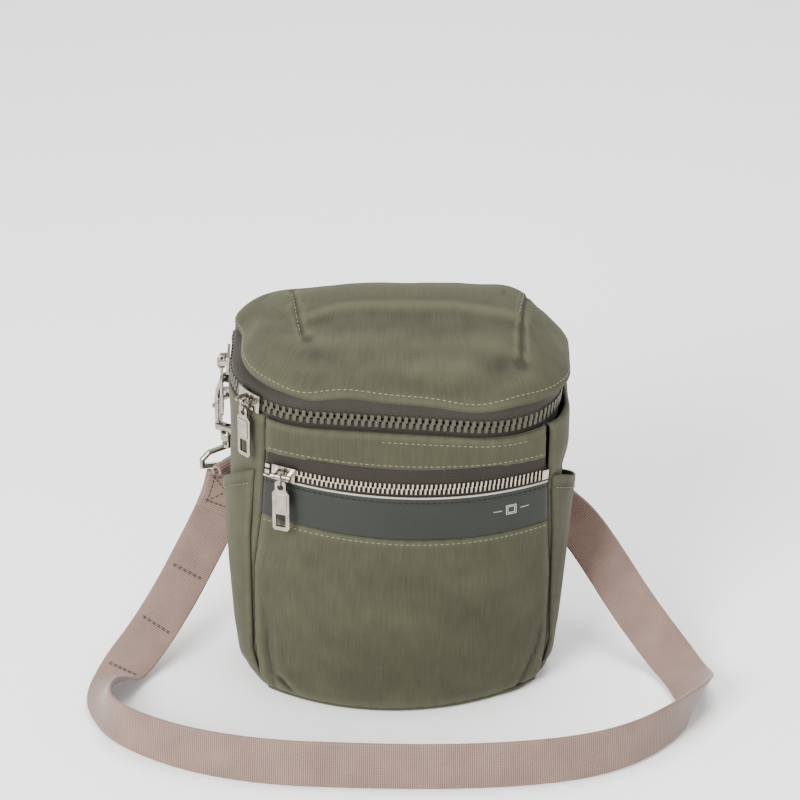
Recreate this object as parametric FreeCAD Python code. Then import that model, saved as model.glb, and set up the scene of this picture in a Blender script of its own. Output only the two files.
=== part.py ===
import FreeCAD, Part
import math
import os
from FreeCAD import Matrix, Vector

# ---------------------------------------------------------------- driving sizes, millimetres
# The bag stands on z = 0 and faces -Y. Plan shape of the main zip, seen from above:
HALF_WIDTH = 86.0
FRONT_Y = -50.0
REAR_Y = 44.0
FRONT_CORNER = 46.0
REAR_CORNER = 28.0
ZIP_END_Y = 30.0          # both ends of the main zip, on the two sides

# The main zip lies in a plane that leans with the slouch of the bag.
ZIP_HEIGHT = 174.7
LEAN_RIGHT = -0.068       # rise for each millimetre towards +X
LEAN_BACK = 0.05          # rise for each millimetre towards +Y
LEAN_DROP = 64.0          # below this drop the panels level out towards the base

CLOTH = 1.4               # canvas wall
SKIN = 2.2                # outer face of the canvas, outside the zip's own path
LID_EDGE = 11.0           # lid seam above the zip
LID_TOP = 37.0
RIM = -6.0                # top edge of the body panels, from the zip plane

# Main zip: moulded teeth, 7 mm chain
TEETH_HALF = 3.4
ROW_GAP = 0.6
TEETH_THICK = 1.5
TAPE_THICK = 0.4

# Front pocket: its zip is an arc of a circle in plan, from seam to seam
POCKET_X = 5.0            # where the pocket stands out furthest
POCKET_FRONT = -57.2
POCKET_DROP = 34.6
POCKET_LEFT = -65.0       # x of each end of the pocket zip
POCKET_RIGHT = 75.5
POCKET_SLIDER = -57.5
SLIDER_HALF = 6.4         # half the small slider's length
BAND_TOP = 40.0
BAND_LOW = 63.5
FLAP_LOW = 26.5

# Pullers
PULL_LENGTH = 29.0
PULL_WIDTH = 9.5
PULL_THICK = 1.3
LINK_WIRE = 0.6
LINK_HALF = 1.8
LINK_DROP = 6.6
BAR_OUT = 6.2             # bridge bar, out from the tape
FRONT_SLIDER_TURN = 42.0  # degrees round the front left corner
REAR_SLIDER_Y = 4.5

# Strap and its hardware
STRAP_WIDTH = 25.0
STRAP_THICK = 1.8
RING_WIRE = 1.5
RING_HALF = 13.0
RING_DROP = 18.0
RING_TILT = 22.0
PIVOT_Z = 158.0
LEFT_RING_ANGLE = 145.0   # where each ring tab sits round its rear corner
RIGHT_RING_ANGLE = 70.0

# Route of the strap's centre line, with the direction of its width at each point
ROUTE = [
    ((-91.2, 39.4, 96.4), (0.97, 0.24, 0.0)),
    ((-92.5, 39.2, 86.5), (0.96, 0.10, -0.20)),
    ((-98.0, 36.0, 71.5), (0.90, -0.10, -0.40)),
    ((-109.5, 25.5, 51.5), (0.88, -0.20, -0.43)),
    ((-121.0, 11.0, 34.0), (0.88, -0.20, -0.43)),
    ((-135.0, -6.0, 17.0), (0.90, -0.18, -0.38)),
    ((-149.0, -22.0, 5.0), (0.98, -0.05, -0.12)),
    ((-158.0, -42.0, 8.2), (0.94, 0.0, 0.33)),
    ((-160.5, -62.0, 13.6), (0.45, 0.0, 0.89)),
    ((-151.5, -82.0, 13.2), (0.05, 0.05, 1.0)),
    ((-131.0, -100.0, 13.2), (0.0, 0.10, 0.99)),
    ((-103.0, -115.0, 13.2), (0.0, 0.15, 0.99)),
    ((-66.0, -125.0, 13.2), (0.0, 0.17, 0.98)),
    ((-25.0, -128.0, 13.2), (0.0, 0.17, 0.98)),
    ((20.0, -129.5, 13.2), (0.0, 0.14, 0.99)),
    ((62.0, -127.0, 13.2), (0.0, 0.16, 0.98)),
    ((98.0, -120.0, 13.2), (0.0, 0.15, 0.99)),
    ((125.0, -106.5, 13.2), (0.0, 0.10, 0.99)),
    ((146.0, -86.0, 13.2), (0.05, 0.02, 1.0)),
    ((160.5, -65.0, 13.2), (0.33, 0.05, 0.94)),
    ((163.0, -43.0, 8.8), (0.85, 0.0, 0.52)),
    ((154.5, -20.0, 5.0), (0.98, 0.05, 0.15)),
    ((143.0, -5.0, 14.0), (0.90, 0.15, 0.40)),
    ((128.0, 11.5, 29.0), (0.88, 0.20, 0.43)),
    ((114.0, 28.0, 46.0), (0.88, 0.20, 0.43)),
    ((101.0, 43.0, 60.0), (0.80, 0.20, 0.56)),
    ((88.0, 54.5, 67.0), (0.62, 0.0, 0.78)),
    ((77.5, 59.0, 78.5), (0.85, -0.20, 0.45)),
    ((71.9, 54.3, 96.4), (0.94, -0.34, 0.0)),
]

# ---------------------------------------------------------------- the leaning zip frame
ZIP_X = Vector(1.0, 0.0, LEAN_RIGHT).normalize()
ZIP_Z = ZIP_X.cross(Vector(0.0, 1.0, LEAN_BACK)).normalize()
ZIP_Y = ZIP_Z.cross(ZIP_X)


def zip_point(x, y, z):
    """A point of the zip's own frame, in the bag's frame."""
    return Vector(0.0, 0.0, ZIP_HEIGHT) + ZIP_X * x + ZIP_Y * y + ZIP_Z * z


def frame_matrix(origin, x_axis, y_axis, z_axis):
    return Matrix(x_axis.x, y_axis.x, z_axis.x, origin.x,
                  x_axis.y, y_axis.y, z_axis.y, origin.y,
                  x_axis.z, y_axis.z, z_axis.z, origin.z,
                  0, 0, 0, 1)


def moved(shape, origin, x_axis, y_axis, z_axis):
    """The shape, carried from its own frame to the one given."""
    placed = shape.copy()
    placed.transformShape(frame_matrix(origin, x_axis, y_axis, z_axis))
    return placed


def in_zip_frame(shape):
    return moved(shape, Vector(0.0, 0.0, ZIP_HEIGHT), ZIP_X, ZIP_Y, ZIP_Z)


def in_pocket_frame(shape):
    return moved(shape, Vector(0.0, 0.0, ZIP_HEIGHT - POCKET_DROP), ZIP_X, ZIP_Y, ZIP_Z)


def level_point(x, y, drop):
    """A point at a drop below the zip plane: the lean dies out towards the base."""
    keep = 1.0
    if drop > LEAN_DROP:
        keep = (ZIP_HEIGHT - drop) / (ZIP_HEIGHT - LEAN_DROP)
    return Vector(x, y, ZIP_HEIGHT - drop + (LEAN_RIGHT * x + LEAN_BACK * y) * keep)


def export(name, shape):
    shape.exportStep("parts/" + name + ".step")


# ---------------------------------------------------------------- small builders
def box(x0, x1, y0, y1, z0, z1):
    return Part.makeBox(x1 - x0, y1 - y0, z1 - z0, Vector(x0, y0, z0))


def line(a, b):
    return Part.LineSegment(a, b).toShape()


def arc(a, middle, b):
    return Part.Arc(a, middle, b).toShape()


def smooth(points):
    curve = Part.BSplineCurve()
    curve.interpolate(points)
    return curve.toShape()


def outline(half, front, rear, front_r, rear_r, place):
    """Closed plan outline with four round corners, each point put in place by a function."""
    corners = [
        (half - front_r, front + front_r, front_r, -90.0),
        (half - rear_r, rear - rear_r, rear_r, 0.0),
        (-half + rear_r, rear - rear_r, rear_r, 90.0),
        (-half + front_r, front + front_r, front_r, 180.0),
    ]
    edges = []
    starts = []
    ends = []
    for cx, cy, radius, start in corners:
        ring = []
        for turn in (0.0, 45.0, 90.0):
            angle = math.radians(start + turn)
            ring.append(place(cx + radius * math.cos(angle), cy + radius * math.sin(angle)))
        starts.append(ring[0])
        ends.append(ring[2])
        edges.append(arc(ring[0], ring[1], ring[2]))
    wire_edges = []
    for i in range(4):
        wire_edges.append(edges[i])
        wire_edges.append(line(ends[i], starts[(i + 1) % 4]))
    return Part.Wire(wire_edges)


def ruled(wires):
    return Part.makeLoft(wires, True, True)


def round_rod(points, radius):
    """A rod along straight runs with ball joints at its corners."""
    rod = None
    for a, b in zip(points[:-1], points[1:]):
        run = Part.makeCylinder(radius, (b - a).Length, a, b - a)
        rod = run if rod is None else rod.fuse(run)
        rod = rod.fuse(Part.makeSphere(radius, b))
    return rod


# ---------------------------------------------------------------- the body of the bag
# Levels of the shell: drop below the zip, half width, front, rear, front and rear corner radius
SHELL = [
    (-RIM, 88.2, -52.2, 46.2, 48.2, 30.2),
    (45.0, 88.2, -49.5, 46.8, 46.0, 30.0),
    (100.0, 87.6, -47.5, 47.5, 44.0, 30.0),
    (145.0, 85.4, -47.0, 47.0, 42.0, 30.0),
    (166.5, 83.0, -45.5, 44.5, 40.0, 28.0),
    (172.5, 79.0, -43.0, 40.5, 37.0, 25.0),
]

# Levels of the lining, which hangs inside the shell and the front wall
LINING = [
    (7.5, 83.0, -46.0, 41.0, 43.0, 26.0),
    (22.0, 82.9, -39.5, 41.2, 47.0, 26.0),
    (45.0, 82.8, -39.3, 41.4, 50.0, 26.0),
    (100.0, 82.2, -38.2, 42.0, 50.0, 26.0),
    (145.0, 80.0, -38.2, 41.6, 50.0, 26.0),
    (169.7, 73.0, -36.0, 35.5, 40.0, 20.0),
]

# Front seams: drop, left seam x, right seam x
SEAMS = [
    (-RIM, -68.0, 79.0),
    (FLAP_LOW, -68.5, 79.0),
    (POCKET_DROP, -69.0, 79.5),
    (BAND_LOW, -71.0, 80.5),
    (100.0, -76.0, 82.5),
    (145.0, -76.5, 81.5),
    (166.5, -74.0, 79.0),
    (172.5, -69.0, 75.0),
]


def between(table, drop):
    """Row of a table at a drop, by straight interpolation."""
    if drop <= table[0][0]:
        return table[0]
    for low, high in zip(table[:-1], table[1:]):
        if drop <= high[0]:
            t = (drop - low[0]) / (high[0] - low[0])
            return tuple(a + (b - a) * t for a, b in zip(low, high))
    return table[-1]


def shell_wire(row, inset):
    drop, half, front, rear, front_r, rear_r = row
    return outline(half - inset, front + inset, rear - inset, front_r - inset, rear_r - inset,
                   lambda x, y: level_point(x, y, drop))


def shell_front_y(x, drop):
    """Front face of the shell's outline at a given x."""
    half, front, rear, front_r = between(SHELL, drop)[1:5]
    over = abs(x) - (half - front_r)
    if over <= 0.0:
        return front
    return front + front_r - math.sqrt(max(front_r ** 2 - over ** 2, 0.0))


def body_shell():
    outer = ruled([shell_wire(row, 0.0) for row in SHELL])
    rows = list(SHELL)
    rows[0] = (-RIM - 3.0,) + SHELL[0][1:]
    rows[-1] = (173.5,) + SHELL[-1][1:]
    inner = ruled([shell_wire(row, 2.0) for row in rows])
    return outer.cut(inner)


def front_cutter():
    """Prism that takes the front of the shell away between the two front seams."""
    left = [level_point(xl, FRONT_Y, drop) for drop, xl, xr in SEAMS]
    right = [level_point(xr, FRONT_Y, drop) for drop, xl, xr in SEAMS]
    left.insert(0, left[0] + Vector(0, 0, 30))
    right.insert(0, right[0] + Vector(0, 0, 30))
    left.append(left[-1] - Vector(0, 0, 6))
    right.append(right[-1] - Vector(0, 0, 6))
    ring = [Vector(p.x, -120.0, p.z) for p in left + right[::-1]]
    face = Part.Face(Part.makePolygon(ring + [ring[0]]))
    return face.extrude(Vector(0.0, 120.0, 0.0))


def make_body():
    shell = body_shell()
    sides = shell.cut(front_cutter())
    back_zone = box(-66.0, 66.0, 5.0, 90.0, -5.0, 200.0)
    gap_zone = box(-66.1, 66.1, 5.0, 90.0, -5.0, 200.0)
    export("back_panel", shell.common(back_zone))
    gussets = sides.cut(gap_zone)
    export("left_gusset", gussets.common(box(-120, 0, -120, 120, -5, 220)))
    export("right_gusset", gussets.common(box(0, 120, -120, 120, -5, 220)))
    foot = SHELL[-1]
    low = (ZIP_HEIGHT,) + tuple(a - b for a, b in zip(foot[1:], (3.0, -3.0, 3.0, 3.0, 3.0)))
    base = ruled([shell_wire(low, 0.0), shell_wire(foot, 0.0)])
    apron = ruled([front_plate(172.5, -56.4), front_plate(ZIP_HEIGHT, -53.6)])
    export("base_panel", base.fuse(apron).removeSplitter())
    board = ruled([shell_wire((172.1,) + foot[1:], 3.4), shell_wire((170.5,) + foot[1:], 3.4)])
    export("base_stiffener", board)
    top = (LINING[0][0] - 3.0,) + LINING[0][1:]
    floor = (LINING[-1][0] - 0.8,) + LINING[-1][1:]
    cloth_in = ruled([shell_wire(row, 0.8) for row in [top] + LINING[1:-1] + [floor]])
    export("main_lining", ruled([shell_wire(row, 0.0) for row in LINING]).cut(cloth_in))


# ---------------------------------------------------------------- the front of the bag
def circle(a, m, b):
    """Centre and radius of the circle through three plan points."""
    d = 2.0 * (a[0] * (m[1] - b[1]) + m[0] * (b[1] - a[1]) + b[0] * (a[1] - m[1]))
    sa = a[0] ** 2 + a[1] ** 2
    sm = m[0] ** 2 + m[1] ** 2
    sb = b[0] ** 2 + b[1] ** 2
    cx = (sa * (m[1] - b[1]) + sm * (b[1] - a[1]) + sb * (a[1] - m[1])) / d
    cy = (sa * (b[0] - m[0]) + sm * (a[0] - b[0]) + sb * (m[0] - a[0])) / d
    return cx, cy, math.hypot(a[0] - cx, a[1] - cy)


def circle_y(x, a, m, b):
    """Height of that circle at x, on its -Y side."""
    cx, cy, radius = circle(a, m, b)
    return cy - math.sqrt(radius ** 2 - (x - cx) ** 2)


def seam_points(drop, lift):
    """Plan points where a front panel meets its two seams."""
    xl, xr = between(SEAMS, drop)[1:3]
    return (xl, shell_front_y(xl, drop) - lift), (xr, shell_front_y(xr, drop) - lift)


def front_section(drop, middle, flat, lift, thick, grow=0.0):
    """Thin closed section across the front: flat is 1 where it follows the shell's own plan."""
    xl, xr = between(SEAMS, drop)[1:3]
    xl += 0.2 + grow
    xr -= 0.2 + grow
    a = (xl, shell_front_y(xl, drop) - lift)
    b = (xr, shell_front_y(xr, drop) - lift)
    m = (POCKET_X, middle)
    outer = []
    inner = []
    steps = 12
    for i in range(steps + 1):
        x = xl + (xr - xl) * i / steps
        y = circle_y(x, a, m, b) * (1.0 - flat)
        y += (shell_front_y(x, drop) - lift) * flat
        outer.append(level_point(x, y, drop))
        inner.append(level_point(x, y + thick, drop))
    edges = [smooth(outer), line(outer[-1], inner[-1]), smooth(inner[::-1]), line(inner[0], outer[0])]
    return Part.Wire(edges)


def front_plate(drop, middle):
    """Closed plan of the base under the front pocket: the pocket's curve, closed straight behind."""
    xl, xr = between(SEAMS, drop)[1:3]
    a = (xl, shell_front_y(xl, drop) - CLOTH)
    b = (xr, shell_front_y(xr, drop) - CLOTH)
    steps = 8
    curve = []
    for i in range(steps + 1):
        x = xl + (xr - xl) * i / steps
        curve.append(level_point(x, circle_y(x, a, (POCKET_X, middle), b), drop))
    behind = [level_point(xr - 4.0, 0.0, drop), level_point(xl + 4.0, 0.0, drop)]
    edges = [smooth(curve), line(curve[-1], behind[0]), line(behind[0], behind[1]), line(behind[1], curve[0])]
    return Part.Wire(edges)


def front_strip(levels, lift, thick, grow=0.0):
    return ruled([front_section(drop, middle, flat, lift, thick, grow)
                  for drop, middle, flat in levels])


def make_front():
    lift = CLOTH + 0.1
    upper = [(-RIM, -53.6, 1.0), (16.0, -55.0, 0.5), (FLAP_LOW, -57.4, 0.0)]
    export("front_upper_panel", front_strip(upper, lift, CLOTH))
    band = [(BAND_TOP, -58.6, 0.0), (52.0, -59.2, 0.0), (BAND_LOW, -59.6, 0.0)]
    export("leather_band", front_strip(band, lift, CLOTH))
    pocket = [(BAND_LOW + 0.1, -59.4, 0.0), (85.0, -60.8, 0.0), (115.0, -61.6, 0.0),
              (145.0, -61.6, 0.0), (164.0, -60.0, 0.0), (171.5, -56.8, 0.0)]
    export("front_pocket_panel", front_strip(pocket, lift, CLOTH))
    wall = [(-RIM + 1.0, -51.6, 1.0), (22.0, -47.4, 0.0), (45.0, -46.2, 0.0), (100.0, -45.8, 0.0),
            (145.0, -45.8, 0.0), (166.5, -45.0, 0.0), (170.1, -44.0, 0.0)]
    export("compartment_front_wall", front_strip(wall, -1.2, CLOTH, 0.8))


LEFT_SEAM, RIGHT_SEAM = seam_points(POCKET_DROP, CLOTH)
ARC_X, ARC_Y, ARC_R = circle(LEFT_SEAM, (POCKET_X, POCKET_FRONT), RIGHT_SEAM)


def arc_angle(x):
    """Angle round the pocket zip's arc, from straight ahead, in degrees."""
    return math.degrees(math.asin((x - ARC_X) / ARC_R))


def arc_strip(radius_in, radius_out, low, high, start, end):
    """Bar bent round the pocket zip's arc, in the zip frame, between two places along it."""
    side = Part.makePolygon([Vector(ARC_X, ARC_Y - radius_in, low), Vector(ARC_X, ARC_Y - radius_out, low),
                             Vector(ARC_X, ARC_Y - radius_out, high), Vector(ARC_X, ARC_Y - radius_in, high),
                             Vector(ARC_X, ARC_Y - radius_in, low)])
    face = Part.Face(side)
    face.rotate(Vector(ARC_X, ARC_Y, 0), Vector(0, 0, 1), arc_angle(start))
    return face.revolve(Vector(ARC_X, ARC_Y, 0), Vector(0, 0, 1), arc_angle(end) - arc_angle(start))


def make_pocket_zip():
    tape_in = ARC_R - TAPE_THICK
    tape_out = ARC_R + TAPE_THICK
    upper = arc_strip(tape_in, tape_out, 2.9, POCKET_DROP - FLAP_LOW - 0.2, POCKET_LEFT - 2.0, POCKET_RIGHT + 2.0)
    lower = arc_strip(tape_in, tape_out, POCKET_DROP - BAND_TOP + 0.2, -2.9, POCKET_LEFT - 2.0, POCKET_RIGHT + 2.0)
    export("pocket_tape_upper", in_pocket_frame(upper))
    export("pocket_tape_lower", in_pocket_frame(lower))
    row_in = ARC_R - 1.2
    row_out = ARC_R + 1.2
    row_up = arc_strip(row_in, row_out, 0.6, 2.8, POCKET_LEFT, POCKET_RIGHT)
    row_low = arc_strip(row_in, row_out, -2.8, -0.6, POCKET_LEFT, POCKET_RIGHT)
    export("pocket_teeth_upper", in_pocket_frame(row_up))
    export("pocket_teeth_lower", in_pocket_frame(row_low))
    stop = arc_strip(ARC_R - 1.2, ARC_R + 1.9, -2.8, 2.8, POCKET_RIGHT + 0.2, POCKET_RIGHT + 3.4)
    tops = [arc_strip(row_in, ARC_R + 1.6, low, low + 2.2, POCKET_LEFT - 2.4, POCKET_LEFT - 0.2)
            for low in (-2.8, 0.6)]
    export("pocket_zip_stops", in_pocket_frame(Part.makeCompound([stop] + tops)))


# ---------------------------------------------------------------- the main zip
def zip_path(offset, z):
    """The open plan path of the main zip, moved outwards by an offset, as edges left to right."""
    half = HALF_WIDTH + offset
    front = FRONT_Y - offset
    radius = FRONT_CORNER + offset
    cx = HALF_WIDTH - FRONT_CORNER
    cy = FRONT_Y + FRONT_CORNER
    bend = radius * math.sqrt(0.5)
    return [
        line(Vector(-half, ZIP_END_Y, z), Vector(-half, cy, z)),
        arc(Vector(-half, cy, z), Vector(-cx - bend, cy - bend, z), Vector(-cx, front, z)),
        line(Vector(-cx, front, z), Vector(cx, front, z)),
        arc(Vector(cx, front, z), Vector(cx + bend, cy - bend, z), Vector(half, cy, z)),
        line(Vector(half, cy, z), Vector(half, ZIP_END_Y, z)),
    ]


def zip_band(inside, outside, low, high):
    """Strip that follows the main zip, between two offsets and two heights."""
    out_edges = zip_path(outside, low)
    in_edges = zip_path(-inside, low)
    ends = [line(in_edges[0].Vertexes[0].Point, out_edges[0].Vertexes[0].Point),
            line(in_edges[-1].Vertexes[1].Point, out_edges[-1].Vertexes[1].Point)]
    wire = Part.Wire(Part.__sortEdges__(out_edges + in_edges + ends))
    return Part.Face(wire).extrude(Vector(0, 0, high - low))


def rear_band(inside, outside, low, high):
    """Strip round the back of the bag, between the two ends of the main zip."""
    def plan(offset):
        return outline(HALF_WIDTH + offset, FRONT_Y - offset, REAR_Y + offset, FRONT_CORNER + offset,
                       REAR_CORNER + offset, lambda x, y: Vector(x, y, low))
    ring = Part.Face(plan(outside)).extrude(Vector(0, 0, high - low))
    ring = ring.cut(Part.Face(plan(-inside)).extrude(Vector(0, 0, high - low)))
    return ring.cut(box(-120, 120, -120, ZIP_END_Y + 2.8, low - 1, high + 1))


def make_main_zip():
    export("main_tape_lower", in_zip_frame(zip_band(TAPE_THICK, TAPE_THICK, RIM + 0.1, -TEETH_HALF)))
    export("main_teeth_lower", in_zip_frame(zip_band(TEETH_THICK, TEETH_THICK, -TEETH_HALF, -ROW_GAP)))
    export("main_tape_upper", in_zip_frame(zip_band(TAPE_THICK, TAPE_THICK, TEETH_HALF, LID_EDGE - 0.1)))
    export("main_teeth_upper", in_zip_frame(zip_band(TEETH_THICK, TEETH_THICK, ROW_GAP, TEETH_HALF)))
    stops = []
    for side in (-1, 1):
        x = side * HALF_WIDTH
        stops.append(box(x - 1.9, x + 1.9, ZIP_END_Y + 0.1, ZIP_END_Y + 2.6, -3.4, -0.6))
    export("main_zip_end_stops", in_zip_frame(Part.makeCompound(stops)))
    export("hinge_binding", in_zip_frame(rear_band(0.4, SKIN, RIM + 0.2, -0.8)))


# ---------------------------------------------------------------- the lid
# Height over the zip plane, then how far each edge has drawn in: sides, front, rear
LID = [
    (LID_EDGE, 0.0, 0.0, 0.0),
    (17.0, 2.0, 5.5, 0.2),
    (24.0, 7.0, 20.0, 1.5),
    (30.0, 14.5, 41.0, 4.5),
    (34.5, 21.0, 58.0, 8.0),
    (LID_TOP, 31.0, 68.0, 15.0),
]


def lid_point(x, y, height):
    """A point over the zip plane: the lean of the zip dies out towards the top of the lid."""
    keep = 1.0 - 0.85 * max(height - LID_EDGE, 0.0) / (LID_TOP - LID_EDGE)
    return Vector(x, y, ZIP_HEIGHT + height + (LEAN_RIGHT * x + LEAN_BACK * y) * keep)


def lid_wire(height, side, front, rear, inset):
    half = HALF_WIDTH + SKIN - side - inset
    front_y = FRONT_Y - SKIN + front + inset
    rear_y = REAR_Y + SKIN - rear - inset
    depth = rear_y - front_y
    front_r = min(FRONT_CORNER + SKIN - 0.3 * front, 0.45 * depth) - inset
    rear_r = min(REAR_CORNER + SKIN - 0.3 * rear, 0.45 * depth) - inset
    return outline(half, front_y, rear_y, front_r, rear_r, lambda x, y: lid_point(x, y, height))


def dome(inset, extra_low, drop_top):
    wires = []
    for i, (height, side, front, rear) in enumerate(LID):
        z = height - (extra_low if i == 0 else 0.0) - (drop_top if i else 0.0)
        wires.append(lid_wire(z, side, front, rear, inset))
    return ruled(wires)


def make_lid():
    panel = dome(0.0, 0.0, 0.0).cut(dome(1.6, 1.0, 1.6))
    export("lid_panel", panel)
    lining = dome(3.6, 0.0, 3.6).cut(dome(4.4, 1.0, 4.4))
    export("lid_lining", lining)
    export("lid_hinge_strip", in_zip_frame(rear_band(0.4, SKIN, 0.8, LID_EDGE - 0.1)))


# ---------------------------------------------------------------- side slip pockets
def side_points(side, drop, push, seam_x):
    """Plan points round one side, from its front seam to its rear seam, pushed outwards."""
    half, front, rear, front_r, rear_r = between(SHELL, drop)[1:]
    cx = half - front_r
    start = math.asin(min((abs(seam_x) - cx) / front_r, 0.98))
    raw = []
    for i in range(5):
        a = start + (math.pi / 2 - start) * i / 4.0
        raw.append((cx + front_r * math.sin(a), front + front_r - front_r * math.cos(a),
                    math.sin(a), -math.cos(a)))
    for i in range(1, 3):
        y = front + front_r + (rear - rear_r - front - front_r) * i / 3.0
        raw.append((half, y, 1.0, 0.0))
    end = math.acos((67.0 - (half - rear_r)) / rear_r)
    for i in range(4):
        a = end * i / 3.0
        raw.append((half - rear_r + rear_r * math.cos(a), rear - rear_r + rear_r * math.sin(a),
                    math.cos(a), math.sin(a)))
    points = []
    for i, (x, y, nx, ny) in enumerate(raw):
        swell = math.sin(math.pi * i / (len(raw) - 1.0))
        out = 0.25 + push * swell
        points.append((side * (x + nx * out), y + ny * out))
    return points


def side_wire(side, centre_z, slope, push, seam_x, thick):
    drop = ZIP_HEIGHT - centre_z
    outer = [Vector(x, y, centre_z - slope * y) for x, y in side_points(side, drop, push + thick, seam_x)]
    inner = [Vector(x, y, centre_z - slope * y) for x, y in side_points(side, drop, push, seam_x)]
    # both ends are moved out together, so that the cloth keeps its thickness there
    for i, sign in ((0, -1.0), (-1, 1.0)):
        outer[i] = inner[i] + Vector(side * thick * 0.5, sign * thick * 0.87, -slope * sign * thick * 0.87)
    edges = [smooth(outer), line(outer[-1], inner[-1]), smooth(inner[::-1]), line(inner[0], outer[0])]
    return Part.Wire(edges)


def make_side_pockets():
    for side, name, hem, push, seam in ((-1, "left_slip_pocket", 112.0, 2.6, (73.0, 76.5)),
                                        (1, "right_slip_pocket", 114.0, 6.2, (80.5, 82.0))):
        levels = [(hem, 0.42, push, seam[0]), (hem - 30.0, 0.30, push * 0.7, seam[1]),
                  (45.0, 0.12, push * 0.35, seam[1]), (24.0, 0.03, 0.6, seam[1]),
                  (12.0, 0.0, 0.4, seam[1] - 3.0)]
        export(name, ruled([side_wire(side, z, slope, swell, x, CLOTH)
                            for z, slope, swell, x in levels]))


def make_inner_pocket():
    """Open-topped card pocket sewn flat inside the back of the lining."""
    x0, x1 = -52.0, 52.0
    y1 = 40.2
    wall = box(x0, x1, y1 - 1.0, y1, 70.0, 140.0)
    export("inner_slip_pocket", wall)


# ---------------------------------------------------------------- sliders, links and pullers
def slider_profiles():
    """Rectangles of a slider's section: inner offset, outer offset, low and high."""
    return [(1.9, 3.3, -5.0, 5.0), (-3.3, -1.9, -5.0, 5.0), (0.9, 2.2, -5.0, -3.8), (-2.2, -0.9, -5.0, -3.8)]


def bent_slider(cx, cy, radius, scale, middle, half_angle):
    """Slider on an arc: plates, lower flanges, a thin post and the bridge, as one solid."""
    def bar(d0, d1, low, high, a0, a1):
        ring = [Vector(cx, cy - radius - d0, low), Vector(cx, cy - radius - d1, low),
                Vector(cx, cy - radius - d1, high), Vector(cx, cy - radius - d0, high)]
        face = Part.Face(Part.makePolygon(ring + [ring[0]]))
        face.rotate(Vector(cx, cy, 0), Vector(0, 0, 1), a0)
        return face.revolve(Vector(cx, cy, 0), Vector(0, 0, 1), a1 - a0)
    solid = None
    for d0, d1, low, high in slider_profiles():
        piece = bar(d0 * scale, d1 * scale, low * scale, high * scale, middle - half_angle, middle + half_angle)
        solid = piece if solid is None else solid.fuse(piece)
    solid = solid.fuse(bar(-2.0 * scale, 2.0 * scale, -0.25, 0.25, middle - 0.3 * half_angle, middle + 0.3 * half_angle))
    return solid.removeSplitter()


def straight_slider(x, middle_y, half_length):
    """Slider on the straight left run, which faces -X."""
    solid = None
    for d0, d1, low, high in slider_profiles():
        piece = box(x - d1, x - d0, middle_y - half_length, middle_y + half_length, low, high)
        solid = piece if solid is None else solid.fuse(piece)
    post = box(x - 2.0, x + 2.0, middle_y - 0.3 * half_length, middle_y + 0.3 * half_length, -0.25, 0.25)
    return solid.fuse(post).removeSplitter()


def bridge():
    """Bail of a slider, in the pull's own frame: X outwards from the tape, Y along the zip."""
    legs = [box(2.6, BAR_OUT, y - 0.9, y + 0.9, -1.3, 1.3) for y in (-4.4, 4.4)]
    bar = Part.makeCylinder(0.9, 9.0, Vector(BAR_OUT, -4.5, 0), Vector(0, 1, 0))
    solid = bar
    for leg in legs:
        solid = solid.fuse(leg)
    for y in (-4.4, 4.4):
        solid = solid.fuse(Part.makeCylinder(1.3, 1.8, Vector(BAR_OUT, y - 0.9, 0), Vector(0, 1, 0)))
    return solid


def link():
    """Oval wire ring that hangs on the bridge, in the pull's own frame."""
    top = 1.6
    half = LINK_HALF
    low = top - LINK_DROP
    z1 = top - half
    z0 = low + half
    path = [
        arc(Vector(BAR_OUT - half, 0, z1), Vector(BAR_OUT, 0, top), Vector(BAR_OUT + half, 0, z1)),
        line(Vector(BAR_OUT + half, 0, z1), Vector(BAR_OUT + half, 0, z0)),
        arc(Vector(BAR_OUT + half, 0, z0), Vector(BAR_OUT, 0, low), Vector(BAR_OUT - half, 0, z0)),
        line(Vector(BAR_OUT - half, 0, z0), Vector(BAR_OUT - half, 0, z1)),
    ]
    wire = Part.Wire(path)
    ring = Part.Wire([Part.Circle(Vector(BAR_OUT - half, 0, z1), Vector(0, 0, 1), LINK_WIRE).toShape()])
    return wire.makePipeShell([ring], True, True)


def puller():
    """Stamped tab with an eye at the top, a raised plate and a window near its lower end."""
    x0 = BAR_OUT - PULL_THICK / 2.0
    eye_z = 1.6 - LINK_DROP - 0.35
    top = eye_z + 3.0
    low = top - PULL_LENGTH
    half = PULL_WIDTH / 2.0
    neck = 3.0
    profile = [Vector(x0, -neck, top - 1.2), Vector(x0, -neck + 1.2, top), Vector(x0, neck - 1.2, top),
               Vector(x0, neck, top - 1.2), Vector(x0, neck, top - 5.4), Vector(x0, half, top - 7.4),
               Vector(x0, half, low + 1.4), Vector(x0, half - 1.4, low), Vector(x0, -half + 1.4, low),
               Vector(x0, -half, low + 1.4), Vector(x0, -half, top - 7.4), Vector(x0, -neck, top - 5.4)]
    plate = Part.Face(Part.makePolygon(profile + [profile[0]])).extrude(Vector(PULL_THICK, 0, 0))
    eye = Part.makeCylinder(1.75, 6.0, Vector(x0 - 2, 0, eye_z - 0.6), Vector(1, 0, 0))
    window = box(x0 - 2, x0 + 4, -half + 2.0, half - 2.0, low + 2.2, low + 9.4)
    plate = plate.cut(eye).cut(window)
    long_edges = [e for e in plate.Edges if e.Length > 12.0]
    plate = plate.makeFillet(0.4, long_edges)
    raised = box(x0 + PULL_THICK - 0.2, x0 + PULL_THICK + 0.35, -half + 1.3, half - 1.3, low + 11.0, top - 8.0)
    return plate.fuse(raised)


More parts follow.
